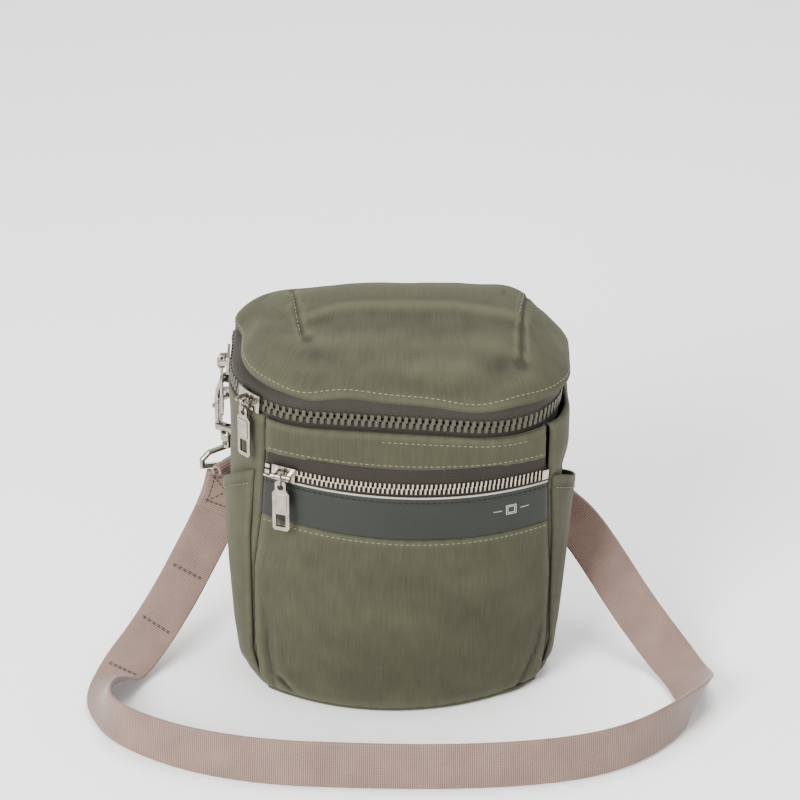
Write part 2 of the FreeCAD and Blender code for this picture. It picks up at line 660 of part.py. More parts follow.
def pull_frame(px, py, nx, ny, drop):
    """Frame of a pull: its X points out of the bag, its Y lies along the zip, and it hangs plumb."""
    out = (ZIP_X * nx + ZIP_Y * ny)
    out = Vector(out.x, out.y, 0.0).normalize()
    up = Vector(0.0, 0.0, 1.0)
    along = up.cross(out)
    origin = zip_point(px, py, 0.0) - Vector(0.0, 0.0, drop)
    return origin, out, along, up


def make_pull(name, placed, frame):
    """Exports a placed slider with its bridge, its link and its puller."""
    origin, out, along, up = frame
    export(name + "_slider_body", placed.fuse(moved(bridge(), origin, out, along, up)))
    export(name + "_pull_link", moved(link(), origin, out, along, up))
    export(name + "_puller", moved(puller(), origin, out, along, up))
    pivot = origin + out * BAR_OUT
    eye = pivot + up * (1.6 - LINK_DROP)
    print(name, "bar", pivot, "along", along, "out", out, "eye", eye)


def make_sliders():
    cx = HALF_WIDTH - FRONT_CORNER
    cy = FRONT_Y + FRONT_CORNER
    turn = FRONT_SLIDER_TURN
    front = bent_slider(-cx, cy, FRONT_CORNER, 1.0, -90.0 + turn, 9.5)
    a = math.radians(turn)
    nx, ny = -math.cos(a), -math.sin(a)
    px = -cx + FRONT_CORNER * nx
    py = cy + FRONT_CORNER * ny
    make_pull("front", in_zip_frame(front), pull_frame(px, py, nx, ny, 0.0))
    rear = straight_slider(-HALF_WIDTH, REAR_SLIDER_Y, 7.6)
    make_pull("rear", in_zip_frame(rear), pull_frame(-HALF_WIDTH, REAR_SLIDER_Y, -1.0, 0.0, 0.0))
    angle = arc_angle(POCKET_SLIDER)
    b = math.radians(angle)
    small = bent_slider(ARC_X, ARC_Y, ARC_R, 0.86, angle, math.degrees(SLIDER_HALF / ARC_R))
    nx, ny = math.sin(b), -math.cos(b)
    make_pull("pocket", in_pocket_frame(small),
              pull_frame(ARC_X + ARC_R * nx, ARC_Y + ARC_R * ny, nx, ny, POCKET_DROP))


# ---------------------------------------------------------------- strap hardware
def ring_frame(side, angle):
    """Frame at a ring's pivot: X out of the bag, Y along the ring's bar, Z up."""
    a = math.radians(angle)
    half, front, rear, front_r, rear_r = between(SHELL, ZIP_HEIGHT - PIVOT_Z)[1:]
    out = Vector(math.cos(a), math.sin(a), 0.0)
    centre = Vector(side * (half - rear_r), rear - rear_r, PIVOT_Z)
    return centre + out * (rear_r + 3.6), out, Vector(0, 0, 1).cross(out), Vector(0, 0, 1)


def ring():
    """D-ring in its own frame, straight bar on the Y axis, tilted out at the bottom."""
    bow = RING_HALF
    straight = RING_DROP - bow
    solid = Part.makeCylinder(RING_WIRE, 2 * bow, Vector(0, -bow, 0), Vector(0, 1, 0))
    for y in (-bow, bow):
        solid = solid.fuse(Part.makeSphere(RING_WIRE, Vector(0, y, 0)))
        solid = solid.fuse(Part.makeCylinder(RING_WIRE, straight, Vector(0, y, 0), Vector(0, 0, -1)))
    hoop = Part.makeTorus(bow, RING_WIRE, Vector(0, 0, -straight), Vector(1, 0, 0))
    hoop = hoop.common(box(-5, 5, -30, 30, -straight - 40, -straight))
    solid = solid.fuse(hoop)
    solid.rotate(Vector(0, 0, 0), Vector(0, 1, 0), -RING_TILT)
    return solid


def tab():
    """Webbing tab sewn on the gusset, folded round the ring's bar."""
    loop = Part.makeCylinder(3.1, 18.0, Vector(0, -9, 0), Vector(0, 1, 0))
    loop = loop.cut(Part.makeCylinder(1.8, 20.0, Vector(0, -10, 0), Vector(0, 1, 0)))
    tail = box(-3.1, -1.9, -9, 9, -20.0, 0.0)
    return loop.fuse(tail).removeSplitter()


def make_ring_and_tab(name, frame):
    export(name + "_d_ring", moved(ring(), *frame))
    export(name + "_ring_tab", moved(tab(), *frame))


def hook_frame(frame):
    """Frame of a snap hook: its origin is the middle of the D-ring's wire at its lowest point."""
    origin, out, along, up = frame
    tilt = math.radians(RING_TILT)
    low = origin + out * (RING_DROP * math.sin(tilt)) - up * (RING_DROP * math.cos(tilt))
    return low, out, along, up


def hook():
    """Snap hook body in its own frame: the throat lies in the X-Z plane, the ring wire at the origin."""
    bore = 4.6
    wall = 3.0
    centre_z = -(bore - RING_WIRE - 0.5)
    thick = 4.6
    start = centre_z - 15.0
    mid = bore + wall / 2.0
    crown = Part.makeCylinder(bore + wall, thick, Vector(0, -thick / 2, centre_z), Vector(0, 1, 0))
    crown = crown.cut(Part.makeCylinder(bore, thick + 2, Vector(0, -thick / 2 - 1, centre_z), Vector(0, 1, 0)))
    crown = crown.common(box(-20, 20, -10, 10, centre_z, centre_z + 20))
    spine = box(-mid - wall / 2, -mid + wall / 2, -thick / 2, thick / 2, start, centre_z)
    nose = box(mid - wall / 2, mid + wall / 2, -thick / 2, thick / 2, centre_z - 2.2, centre_z)
    foot = box(-mid - wall / 2, mid + wall / 2, -thick / 2, thick / 2, start - 4.0, start)
    solid = crown.fuse(spine).fuse(nose).fuse(foot).removeSplitter()
    rim = [e for e in solid.Edges if e.Length > 3.0 and abs(e.BoundBox.YLength) < 0.01]
    solid = solid.makeFillet(0.9, rim)
    collar = Part.makeCylinder(4.2, 5.0, Vector(0, 0, start - 8.6), Vector(0, 0, 1))
    collar = collar.makeFillet(0.8, [e for e in collar.Edges if e.Length > 20.0])
    bore_hole = Part.makeCylinder(1.57, 12.0, Vector(0, 0, start - 12.0), Vector(0, 0, 1))
    head_room = Part.makeCylinder(2.9, 2.6, Vector(0, 0, start - 5.2), Vector(0, 0, 1))
    return solid.fuse(collar).cut(bore_hole).cut(head_room), start, centre_z, mid, wall, thick


def gate(start, centre_z, mid, wall, thick):
    """Spring gate between the foot and the nose, with a thumb stud on its outer face."""
    low = start + 0.6
    high = centre_z - 2.6
    bar = box(mid - 1.3, mid + 1.3, -thick / 2 + 0.2, thick / 2 - 0.2, low, high)
    bar = bar.makeFillet(0.5, [e for e in bar.Edges if e.Length > 6.0])
    stud = Part.makeCylinder(1.5, 2.4, Vector(mid + 1.0, 0, high - 3.2), Vector(1, 0, 0))
    return bar.fuse(stud)


def eye(start):
    """Swivel eye below a hook: pin with a head inside the collar, and a D frame for the webbing."""
    pin_low = start - 12.4
    pin = Part.makeCylinder(1.5, 10.0, Vector(0, 0, pin_low), Vector(0, 0, 1))
    head = Part.makeCylinder(2.6, 1.8, Vector(0, 0, start - 4.7), Vector(0, 0, 1))
    washer = Part.makeCylinder(3.4, 1.6, Vector(0, 0, pin_low), Vector(0, 0, 1))
    half = STRAP_WIDTH / 2.0 + 2.2
    bar_z = pin_low - 11.0
    left = [Vector(0, 0, pin_low), Vector(0, -half + 4.0, pin_low - 3.0), Vector(0, -half, pin_low - 7.0),
            Vector(0, -half, bar_z)]
    right = [Vector(0, -p.y, p.z) for p in left]
    frame = round_rod(left, RING_WIRE).fuse(round_rod(right, RING_WIRE))
    bar = Part.makeCylinder(RING_WIRE, 2 * half, Vector(0, -half, bar_z), Vector(0, 1, 0))
    return pin.fuse(head).fuse(washer).fuse(frame).fuse(bar), bar_z


def fold(bar_z):
    """Webbing folded over the eye's bar, closed below it."""
    outer = Part.makeCylinder(RING_WIRE + 0.1 + STRAP_THICK, STRAP_WIDTH - 2.0,
                              Vector(0, -STRAP_WIDTH / 2.0 + 1.0, bar_z), Vector(0, 1, 0))
    inner = Part.makeCylinder(RING_WIRE + 0.1, STRAP_WIDTH,
                              Vector(0, -STRAP_WIDTH / 2.0, bar_z), Vector(0, 1, 0))
    return outer.cut(inner)


def make_hook(name, frame, bar_direction):
    """Hook, gate, eye and fold; the eye has swivelled so that its bar lies along the webbing."""
    origin, out, along, up = hook_frame(frame)
    solid, start, centre_z, mid, wall, thick = hook()
    export(name + "_snap_hook", moved(solid, origin, out, along, up))
    export(name + "_hook_gate", moved(gate(start, centre_z, mid, wall, thick), origin, out, along, up))
    bar = Vector(bar_direction[0], bar_direction[1], 0.0).normalize()
    face = bar.cross(up)
    solid, bar_z = eye(start)
    export(name + "_swivel_eye", moved(solid, origin, face, bar, up))
    export(name + "_strap_fold", moved(fold(bar_z), origin, face, bar, up))
    gate_pivot = origin + out * mid + up * (start + 1.4)
    print(name, "ring pivot", frame[0], "along", frame[2], "hook axis", origin, "gate", gate_pivot,
          "bar centre", origin + up * bar_z)


# ---------------------------------------------------------------- strap
def strap_stations():
    """Centre points, directions and width vectors along straight runs joined by tangent arcs."""
    points = [Vector(*p) for p, w in ROUTE]
    widths = [Vector(*w).normalize() for p, w in ROUTE]
    edges = []
    stations = [(points[0], points[1] - points[0], widths[0])]
    last = points[0]
    radii = []
    for i in range(1, len(points) - 1):
        before = points[i] - points[i - 1]
        after = points[i + 1] - points[i]
        turn = before.getAngle(after)
        cut = 0.45 * min(before.Length, after.Length)
        radii.append(cut / math.tan(turn / 2.0))
        a = points[i] - before.normalize() * cut
        b = points[i] + after.normalize() * cut
        toward = (a + b) * 0.5 - points[i]
        centre = points[i] + toward.normalize() * (radii[-1] / math.cos(turn / 2.0))
        middle = centre + (points[i] - centre).normalize() * radii[-1]
        edges.append(line(last, a))
        edges.append(arc(a, middle, b))
        last = b
        bend = edges[-1]
        span = bend.LastParameter - bend.FirstParameter
        for step in range(5):
            u = bend.FirstParameter + span * step / 4.0
            spot = bend.valueAt(u)
            t = 0.5 * (step / 4.0 - 0.5)
            near = widths[i + 1] if t > 0 else widths[i - 1]
            width = widths[i] + (near - widths[i]) * abs(t) * 1.8
            stations.append((spot, bend.tangentAt(u), width))
    edges.append(line(last, points[-1]))
    stations.append((points[-1], points[-1] - points[-2], widths[-1]))
    return stations, Part.Wire(edges), radii


def make_strap():
    stations, path, radii = strap_stations()
    wires = []
    for spot, direction, width in stations:
        run = Vector(direction).normalize()
        across = (width - run * width.dot(run)).normalize() * (STRAP_WIDTH / 2.0)
        thick = run.cross(across).normalize() * (STRAP_THICK / 2.0)
        ring = [spot - across - thick, spot + across - thick, spot + across + thick, spot - across + thick]
        wires.append(Part.makePolygon(ring + [ring[0]]))
    strap = ruled(wires)
    export("strap_webbing", strap)
    print("strap length", path.Length, "radii", [round(r) for r in radii])
    print("strap volume", strap.Volume, "section x length", STRAP_WIDTH * STRAP_THICK * path.Length,
          "lowest", strap.BoundBox.ZMin, "valid", strap.isValid())


def make_hardware():
    left = ring_frame(-1, LEFT_RING_ANGLE)
    right = ring_frame(1, RIGHT_RING_ANGLE)
    make_ring_and_tab("left", left)
    make_ring_and_tab("right", right)
    make_hook("left", left, ROUTE[0][1])
    make_hook("right", right, ROUTE[-1][1])


def main():
    os.makedirs("parts", exist_ok=True)
    make_body()
    make_front()
    make_pocket_zip()
    make_main_zip()
    make_lid()
    make_side_pockets()
    make_inner_pocket()
    make_sliders()
    make_hardware()
    make_strap()
    hinge = zip_point(0.0, REAR_Y + SKIN + 1.0, 0.0)
    corner = zip_point(-HALF_WIDTH + FRONT_CORNER, FRONT_Y + FRONT_CORNER, 0.0)
    pocket = zip_point(ARC_X, ARC_Y, 0.0) - Vector(0.0, 0.0, POCKET_DROP)
    print("lid hinge", hinge, "axis", ZIP_X, "zip Y", ZIP_Y, "zip Z", ZIP_Z)
    print("front corner axis", corner, "pocket axis", pocket, "radius", ARC_R,
          "travel", arc_angle(POCKET_RIGHT) - arc_angle(POCKET_SLIDER) - math.degrees(SLIDER_HALF / ARC_R))


main()
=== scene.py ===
"""A small upright crossbody purse in washed canvas: its cloth, leather, zips, webbing and metal."""

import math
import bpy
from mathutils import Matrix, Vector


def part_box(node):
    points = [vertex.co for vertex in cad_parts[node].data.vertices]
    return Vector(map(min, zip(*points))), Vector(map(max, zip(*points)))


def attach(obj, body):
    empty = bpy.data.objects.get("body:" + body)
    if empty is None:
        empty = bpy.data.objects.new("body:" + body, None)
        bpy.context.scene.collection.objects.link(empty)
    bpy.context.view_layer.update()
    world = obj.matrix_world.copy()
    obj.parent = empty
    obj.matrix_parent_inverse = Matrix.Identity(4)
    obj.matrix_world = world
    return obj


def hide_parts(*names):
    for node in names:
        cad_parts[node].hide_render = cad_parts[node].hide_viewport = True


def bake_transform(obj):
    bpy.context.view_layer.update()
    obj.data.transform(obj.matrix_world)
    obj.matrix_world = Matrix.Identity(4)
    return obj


bl_info = {
    "name": "Crossbody Purse",
    "version": (1, 0, 0),
    "blender": (4, 5, 0),
    "location": "View3D > Sidebar > Purse",
    "description": "Sews a small canvas crossbody purse over its hard frame",
    "category": "Object",
}

import bmesh
import bpy
from mathutils import Vector, noise

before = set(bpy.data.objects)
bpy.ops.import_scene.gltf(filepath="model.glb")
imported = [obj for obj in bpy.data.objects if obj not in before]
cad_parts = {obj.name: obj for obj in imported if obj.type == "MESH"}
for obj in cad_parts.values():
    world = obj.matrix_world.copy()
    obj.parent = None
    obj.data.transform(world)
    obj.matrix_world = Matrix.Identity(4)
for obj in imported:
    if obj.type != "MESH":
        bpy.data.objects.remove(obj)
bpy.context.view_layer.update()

MM = 0.001

# ------------------------------------------------------------------ the cut of the bag, millimetres
ZIP_HEIGHT = 174.7
LEAN_RIGHT = -0.068
LEAN_BACK = 0.05
LEAN_DROP = 64.0
HALF_WIDTH = 86.0
FRONT_Y = -50.0
REAR_Y = 44.0
FRONT_CORNER = 46.0
REAR_CORNER = 28.0
ZIP_END_Y = 30.0
SKIN = 2.2
LID_EDGE = 11.0
LID_TOP = 37.0
POCKET_X = 5.0
POCKET_DROP = 34.6
PANEL_EDGE = 26.5        # drop of the upper panel's lower edge
BAND_TOP = 40.0          # drop of the leather band's cut edge
SLIDER_HALF = 5.2        # half height that a slider needs beside the teeth
TAIL = 25.0              # webbing sewn back on itself at each end of the strap
LEFT_HEM = 112.0         # slip pockets: height of the hem, then how far its middle stands out
RIGHT_HEM = 114.0
LEFT_PUSH = 2.6
RIGHT_PUSH = 6.2
ZIP_X = Vector((1.0, 0.0, LEAN_RIGHT)).normalized()
ZIP_Z = ZIP_X.cross(Vector((0.0, 1.0, LEAN_BACK))).normalized()
ZIP_Y = ZIP_Z.cross(ZIP_X)

# drop below the zip, half width, front, rear, front and rear corner radius
SHELL = [
    (6.0, 88.2, -52.2, 46.2, 48.2, 30.2),
    (45.0, 88.2, -49.5, 46.8, 46.0, 30.0),
    (100.0, 87.6, -47.5, 47.5, 44.0, 30.0),
    (145.0, 85.4, -47.0, 47.0, 42.0, 30.0),
    (166.5, 83.0, -45.5, 44.5, 40.0, 28.0),
    (172.5, 79.0, -43.0, 40.5, 37.0, 25.0),
]
LINING = [
    (7.5, 83.0, -46.0, 41.0, 43.0, 26.0),
    (22.0, 82.9, -39.5, 41.2, 47.0, 26.0),
    (45.0, 82.8, -39.3, 41.4, 50.0, 26.0),
    (100.0, 82.2, -38.2, 42.0, 50.0, 26.0),
    (145.0, 80.0, -38.2, 41.6, 50.0, 26.0),
    (169.7, 73.0, -36.0, 35.5, 40.0, 20.0),
]
# drop, then where the left and the right front seams run
SEAMS = [
    (6.0, -68.0, 79.0),
    (26.5, -68.5, 79.0),
    (34.6, -69.0, 79.5),
    (63.5, -71.0, 80.5),
    (100.0, -76.0, 82.5),
    (145.0, -76.5, 81.5),
    (166.5, -74.0, 79.0),
    (172.5, -69.0, 75.0),
]
# height over the zip, then how far the sides, the front and the rear have drawn in
LID = [
    (11.0, 0.0, 0.0, 0.0),
    (17.0, 2.0, 5.5, 0.2),
    (24.0, 7.0, 20.0, 1.5),
    (30.0, 14.5, 41.0, 4.5),
    (34.5, 21.0, 58.0, 8.0),
    (37.0, 31.0, 68.0, 15.0),
]
# the strap's centre line, with the direction of its width at each point
ROUTE = [
    ((-91.2, 39.4, 96.4), (0.97, 0.24, 0.0)),
    ((-92.5, 39.2, 86.5), (0.96, 0.10, -0.20)),
    ((-98.0, 36.0, 71.5), (0.90, -0.10, -0.40)),
    ((-109.5, 25.5, 51.5), (0.88, -0.20, -0.43)),
    ((-121.0, 11.0, 34.0), (0.88, -0.20, -0.43)),
    ((-135.0, -6.0, 17.0), (0.90, -0.18, -0.38)),
    ((-149.0, -22.0, 5.0), (0.98, -0.05, -0.12)),
    ((-154.5, -40.0, 8.2), (0.94, 0.0, 0.33)),
    ((-156.5, -62.0, 13.6), (0.45, 0.0, 0.89)),
    ((-151.5, -82.0, 13.2), (0.05, 0.05, 1.0)),
    ((-131.0, -100.0, 13.2), (0.0, 0.10, 0.99)),
    ((-103.0, -115.0, 13.2), (0.0, 0.15, 0.99)),
    ((-66.0, -125.0, 13.2), (0.0, 0.17, 0.98)),
    ((-25.0, -128.0, 13.2), (0.0, 0.17, 0.98)),
    ((20.0, -129.5, 13.2), (0.0, 0.14, 0.99)),
    ((62.0, -127.0, 13.2), (0.0, 0.16, 0.98)),
    ((98.0, -120.0, 13.2), (0.0, 0.15, 0.99)),
    ((125.0, -106.5, 13.2), (0.0, 0.10, 0.99)),
    ((146.0, -86.0, 13.2), (0.05, 0.02, 1.0)),
    ((160.5, -65.0, 13.2), (0.33, 0.05, 0.94)),
    ((160.0, -43.0, 8.8), (0.85, 0.0, 0.52)),
    ((154.5, -20.0, 5.0), (0.98, 0.05, 0.15)),
    ((143.0, -5.0, 14.0), (0.90, 0.15, 0.40)),
    ((128.0, 11.5, 29.0), (0.88, 0.20, 0.43)),
    ((114.0, 28.0, 46.0), (0.88, 0.20, 0.43)),
    ((101.0, 43.0, 60.0), (0.80, 0.20, 0.56)),
    ((88.0, 54.5, 67.0), (0.62, 0.0, 0.78)),
    ((77.5, 59.0, 78.5), (0.85, -0.20, 0.45)),
    ((71.9, 54.3, 96.4), (0.94, -0.34, 0.0)),
]


# ------------------------------------------------------------------ places on the bag
def clamp(value, low, high):
    return max(low, min(high, value))


def between(table, key):
    """Row of a table at a key, by straight interpolation."""
    if key <= table[0][0]:
        return (key,) + tuple(table[0][1:])
    for low, high in zip(table[:-1], table[1:]):
        if key <= high[0]:
            t = (key - low[0]) / (high[0] - low[0])
            return tuple(a + (b - a) * t for a, b in zip(low, high))
    return (key,) + tuple(table[-1][1:])


def eased(table, key):
    """Row of a table at a key, along a smooth line through its rows."""
    last = len(table) - 1
    i = 0
    while i < last - 1 and key > table[i + 1][0]:
        i += 1
    t = clamp((key - table[i][0]) / (table[i + 1][0] - table[i][0]), 0.0, 1.0)
    rows = [table[clamp(i + k, 0, last)] for k in (-1, 0, 1, 2)]
    out = [key]
    for column in range(1, len(table[0])):
        p0, p1, p2, p3 = (row[column] for row in rows)
        out.append(0.5 * (2 * p1 + (p2 - p0) * t + (2 * p0 - 5 * p1 + 4 * p2 - p3) * t * t
                          + (3 * p1 - p0 - 3 * p2 + p3) * t ** 3))
    return tuple(out)


def zip_point(x, y, z):
    """A point in the leaning plane of the main zip."""
    return Vector((0.0, 0.0, ZIP_HEIGHT)) + ZIP_X * x + ZIP_Y * y + ZIP_Z * z


def level_point(x, y, drop):
    """A point at a drop below the zip: the lean dies out towards the base."""
    keep = 1.0
    if drop > LEAN_DROP:
        keep = (ZIP_HEIGHT - drop) / (ZIP_HEIGHT - LEAN_DROP)
    return Vector((x, y, ZIP_HEIGHT - drop + (LEAN_RIGHT * x + LEAN_BACK * y) * keep))


def lid_point(x, y, height):
    """A point over the zip: its lean dies out towards the top of the lid."""
    keep = 1.0 - 0.85 * max(height - LID_EDGE, 0.0) / (LID_TOP - LID_EDGE)
    return Vector((x, y, ZIP_HEIGHT + height + (LEAN_RIGHT * x + LEAN_BACK * y) * keep))


def shell_front(x, drop):
    """Front face of the shell at a given x."""
    half, front, _, radius = between(SHELL, drop)[1:5]
    over = abs(x) - (half - radius)
    if over <= 0.0:
        return front
    return front + radius - math.sqrt(max(radius ** 2 - over ** 2, 0.0))


def arc_through(a, m, b):
    """Centre and radius of the circle through three plan points."""
    d = 2.0 * (a[0] * (m[1] - b[1]) + m[0] * (b[1] - a[1]) + b[0] * (a[1] - m[1]))
    sa, sm, sb = (p[0] ** 2 + p[1] ** 2 for p in (a, m, b))
    cx = (sa * (m[1] - b[1]) + sm * (b[1] - a[1]) + sb * (a[1] - m[1])) / d
    cy = (sa * (b[0] - m[0]) + sm * (a[0] - b[0]) + sb * (m[0] - a[0])) / d
    return cx, cy, math.hypot(a[0] - cx, a[1] - cy)


def front_place(levels, lift, margin=0.2):
    """Place on a front panel: u from the left seam to the right one, then the drop."""
    def place(u, drop):
        middle, flat = eased(levels, drop)[1:]
        xl, xr = between(SEAMS, drop)[1:]
        xl += margin
        xr -= margin
        a = (xl, shell_front(xl, drop) - lift)
        b = (xr, shell_front(xr, drop) - lift)
        cx, cy, radius = arc_through(a, (POCKET_X, middle), b)
        x = xl + (xr - xl) * u
        y = (cy - math.sqrt(max(radius ** 2 - (x - cx) ** 2, 0.0))) * (1.0 - flat)
        y += (shell_front(x, drop) - lift) * flat
        return level_point(x, y, drop)
    return place


def side_plan(row, side, seam, t, push=0.0, back_seam=66.0):
    """Plan point round one side of a row, t from the front seam to the back seam."""
    half, front, rear, front_r, rear_r = row[1:6]
    a0 = math.asin(clamp((seam - half + front_r) / front_r, 0.0, 0.98))
    a1 = math.acos(clamp((back_seam - half + rear_r) / rear_r, 0.0, 1.0))
    first = front_r * (math.pi / 2 - a0)
    second = rear - rear_r - front - front_r
    d = t * (first + second + rear_r * a1)
    if d < first:
        a = a0 + d / front_r
        nx, ny = math.sin(a), -math.cos(a)
        x, y = half - front_r + front_r * nx, front + front_r + front_r * ny
    elif d < first + second:
        nx, ny = 1.0, 0.0
        x, y = half, front + front_r + d - first
    else:
        a = (d - first - second) / rear_r
        nx, ny = math.cos(a), math.sin(a)
        x, y = half - rear_r + rear_r * nx, rear - rear_r + rear_r * ny
    return side * (x + nx * push), y + ny * push


def ring_plan(half, front, rear, front_r, rear_r, count):
    """Closed plan outline: half its points run left to right by the front, the rest back by the rear."""
    def half_turn(edge, radius, sign):
        middle = (front + rear) / 2.0
        depth = abs(edge - middle) - radius
        runs = [depth, radius * math.pi / 2, 2 * (half - radius), radius * math.pi / 2, depth]
        total = sum(runs)
        points = []
        for i in range(count):
            d = total * i / count
            x, y = -half, middle
            if d <= runs[0]:
                x, y = -half, middle + sign * d
            elif d <= sum(runs[:2]):
                a = (d - runs[0]) / radius
                x, y = -half + radius - radius * math.cos(a), edge - sign * (radius - radius * math.sin(a))
            elif d <= sum(runs[:3]):
                x, y = -half + radius + d - sum(runs[:2]), edge
            elif d <= sum(runs[:4]):
                a = (d - sum(runs[:3])) / radius
                x, y = half - radius + radius * math.sin(a), edge - sign * (radius - radius * math.cos(a))
            else:
                x, y = half, edge - sign * radius - sign * (d - sum(runs[:4]))
            points.append((x, y))
        return points
    near = half_turn(front, front_r, -1.0)
    far = half_turn(rear, rear_r, 1.0)
    return near + [(-x, y) for x, y in far]


def zip_plan(d, offset=0.0):
    """Plan point of the main zip at a distance along it from its left end, and its outward direction."""
    cx = HALF_WIDTH - FRONT_CORNER
    cy = FRONT_Y + FRONT_CORNER
    side = ZIP_END_Y - cy
    bend = FRONT_CORNER * math.pi / 2
    if d < side:
        x, y, nx, ny = -HALF_WIDTH, ZIP_END_Y - d, -1.0, 0.0
    elif d < side + bend:
        a = (d - side) / FRONT_CORNER
        nx, ny = -math.cos(a), -math.sin(a)
        x, y = -cx + FRONT_CORNER * nx, cy + FRONT_CORNER * ny
    elif d < side + bend + 2 * cx:
        x, y, nx, ny = -cx + d - side - bend, FRONT_Y, 0.0, -1.0
    elif d < side + 2 * bend + 2 * cx:
        a = (d - side - bend - 2 * cx) / FRONT_CORNER
        nx, ny = math.sin(a), -math.cos(a)
        x, y = cx + FRONT_CORNER * nx, cy + FRONT_CORNER * ny
    else:
        x, y, nx, ny = HALF_WIDTH, cy + d - side - 2 * bend - 2 * cx, 1.0, 0.0
    return x + nx * offset, y + ny * offset


SIDE_RUN = ZIP_END_Y - FRONT_Y - FRONT_CORNER
ZIP_LENGTH = 2 * (SIDE_RUN + HALF_WIDTH - FRONT_CORNER) + FRONT_CORNER * math.pi


def pocket_zip_arc():
    """Centre and radius of the pocket zip in plan."""
    lift = 1.4
    return arc_through((-69.0, shell_front(-69.0, POCKET_DROP) - lift), (POCKET_X, -57.2),
                       (79.5, shell_front(79.5, POCKET_DROP) - lift))


def pocket_zip_point(x, out, up):
    """A point beside the pocket zip: at an x, out from its arc, and up from its teeth."""
    cx, cy, radius = pocket_zip_arc()
    a = math.asin((x - cx) / radius)
    plan = Vector((cx + (radius + out) * math.sin(a), cy - (radius + out) * math.cos(a)))
    return zip_point(plan.x, plan.y, up) - Vector((0.0, 0.0, POCKET_DROP))


# ------------------------------------------------------------------ how cloth moves
def ripple(p, size, seed):
    """Slow uneven wave of a given size, from -1 to 1."""
    return noise.noise(Vector((p.x / size + seed, p.y / size - seed, p.z / size + 2.0 * seed)))


def hump(a, b, width):
    """Bell curve of a distance."""
    return math.exp(-((a - b) / width) ** 2)


def ease(t):
    """Smooth step from 0 to 1."""
    t = clamp(t, 0.0, 1.0)
    return t * t * (3.0 - 2.0 * t)


def hem_rise(side, y):
    """How much higher a slip pocket's hem runs towards its front seam."""
    return -min(y, 0.0) * (0.25 if side < 0 else 0.12)


def off_line(px, py, line):
    """Distance from a point to a line of points, and how far along it that is, from 0 to 1."""
    best = (1e9, 0.0)
    last = len(line) - 1
    for i in range(last):
        ax, ay = line[i]
        bx, by = line[i + 1]
        dx, dy = bx - ax, by - ay
        t = clamp(((px - ax) * dx + (py - ay) * dy) / (dx ** 2 + dy ** 2), 0.0, 1.0)
        d = math.hypot(px - ax - dx * t, py - ay - dy * t)
        if d < best[0]:
            best = (d, (i + t) / last)
    return best


def turned_edge(d, depth=1.2, reach=2.6):
    """Cloth rolling inwards over a seam, by its distance from the seam."""
    return -depth * (1.0 - d / reach) ** 2 if d < reach else 0.0


def pucker(along, away, pitch, depth, seed):
    """Gathers that a tight seam leaves, dying out away from it."""
    wander = noise.noise(Vector((along / 14.0, seed, 0.0)))
    wave = math.sin(2 * math.pi * along / pitch + 5.0 * wander)
    return depth * math.exp(-away / 4.0) * wave * (0.6 + 0.8 * wander)


# ------------------------------------------------------------------ meshes
def steps(length, step):
    """Even steps from 0 to 1, closer together near both ends."""
    inner = max(2, int(length / step))
    ends = [0.0, 0.5, 1.1, 1.9, 2.9]
    inside = [4.0 + (length - 8.0) * i / inner for i in range(inner + 1)]
    return [v / length for v in ends + inside + [length - e for e in reversed(ends)]]


def normals_of(grid, wrap, facing):
    """Unit normals of a grid of points, on the side that facing picks."""
    rows, cols = len(grid), len(grid[0])
    found = []
    for r in range(rows):
        line = []
        for c in range(cols):
            if wrap:
                du = grid[r][(c + 1) % cols] - grid[r][c - 1]
            else:
                du = grid[r][min(c + 1, cols - 1)] - grid[r][max(c - 1, 0)]
            dv = grid[min(r + 1, rows - 1)][c] - grid[max(r - 1, 0)][c]
            n = du.cross(dv) * facing
            if n.length < 1e-6:
                n = found[-1][c] if found else Vector((0.0, 0.0, 1.0))
            line.append(n.normalized())
        found.append(line)
    return found


def link_mesh(name, verts, faces, uvs, rub, finish):
    """A smooth mesh object from points in millimetres, with its UV map and a share that makes its colour
    paler on ridges, as wear, and darker in hollows, as painted shade.
    """
    mesh = bpy.data.meshes.new(name)
    mesh.from_pydata([tuple(v * MM) for v in verts], [], faces)
    layer = mesh.uv_layers.new(name="UVMap")
    for loop in mesh.loops:
        layer.data[loop.index].uv = uvs[loop.vertex_index]
    # this attribute makes ridges paler, as wear, and hollows darker, as painted shade
    worn = mesh.attributes.new("rub", "FLOAT", "POINT")
    worn.data.foreach_set("value", rub)
    bm = bmesh.new()
    bm.from_mesh(mesh)
    bmesh.ops.remove_doubles(bm, verts=bm.verts, dist=0.00001)
    bmesh.ops.recalc_face_normals(bm, faces=bm.faces)
    bm.to_mesh(mesh)
    bm.free()
    mesh.polygons.foreach_set("use_smooth", [True] * len(mesh.polygons))
    obj = bpy.data.objects.new(name, mesh)
    bpy.context.scene.collection.objects.link(obj)
    mesh.materials.append(finish)
    return obj


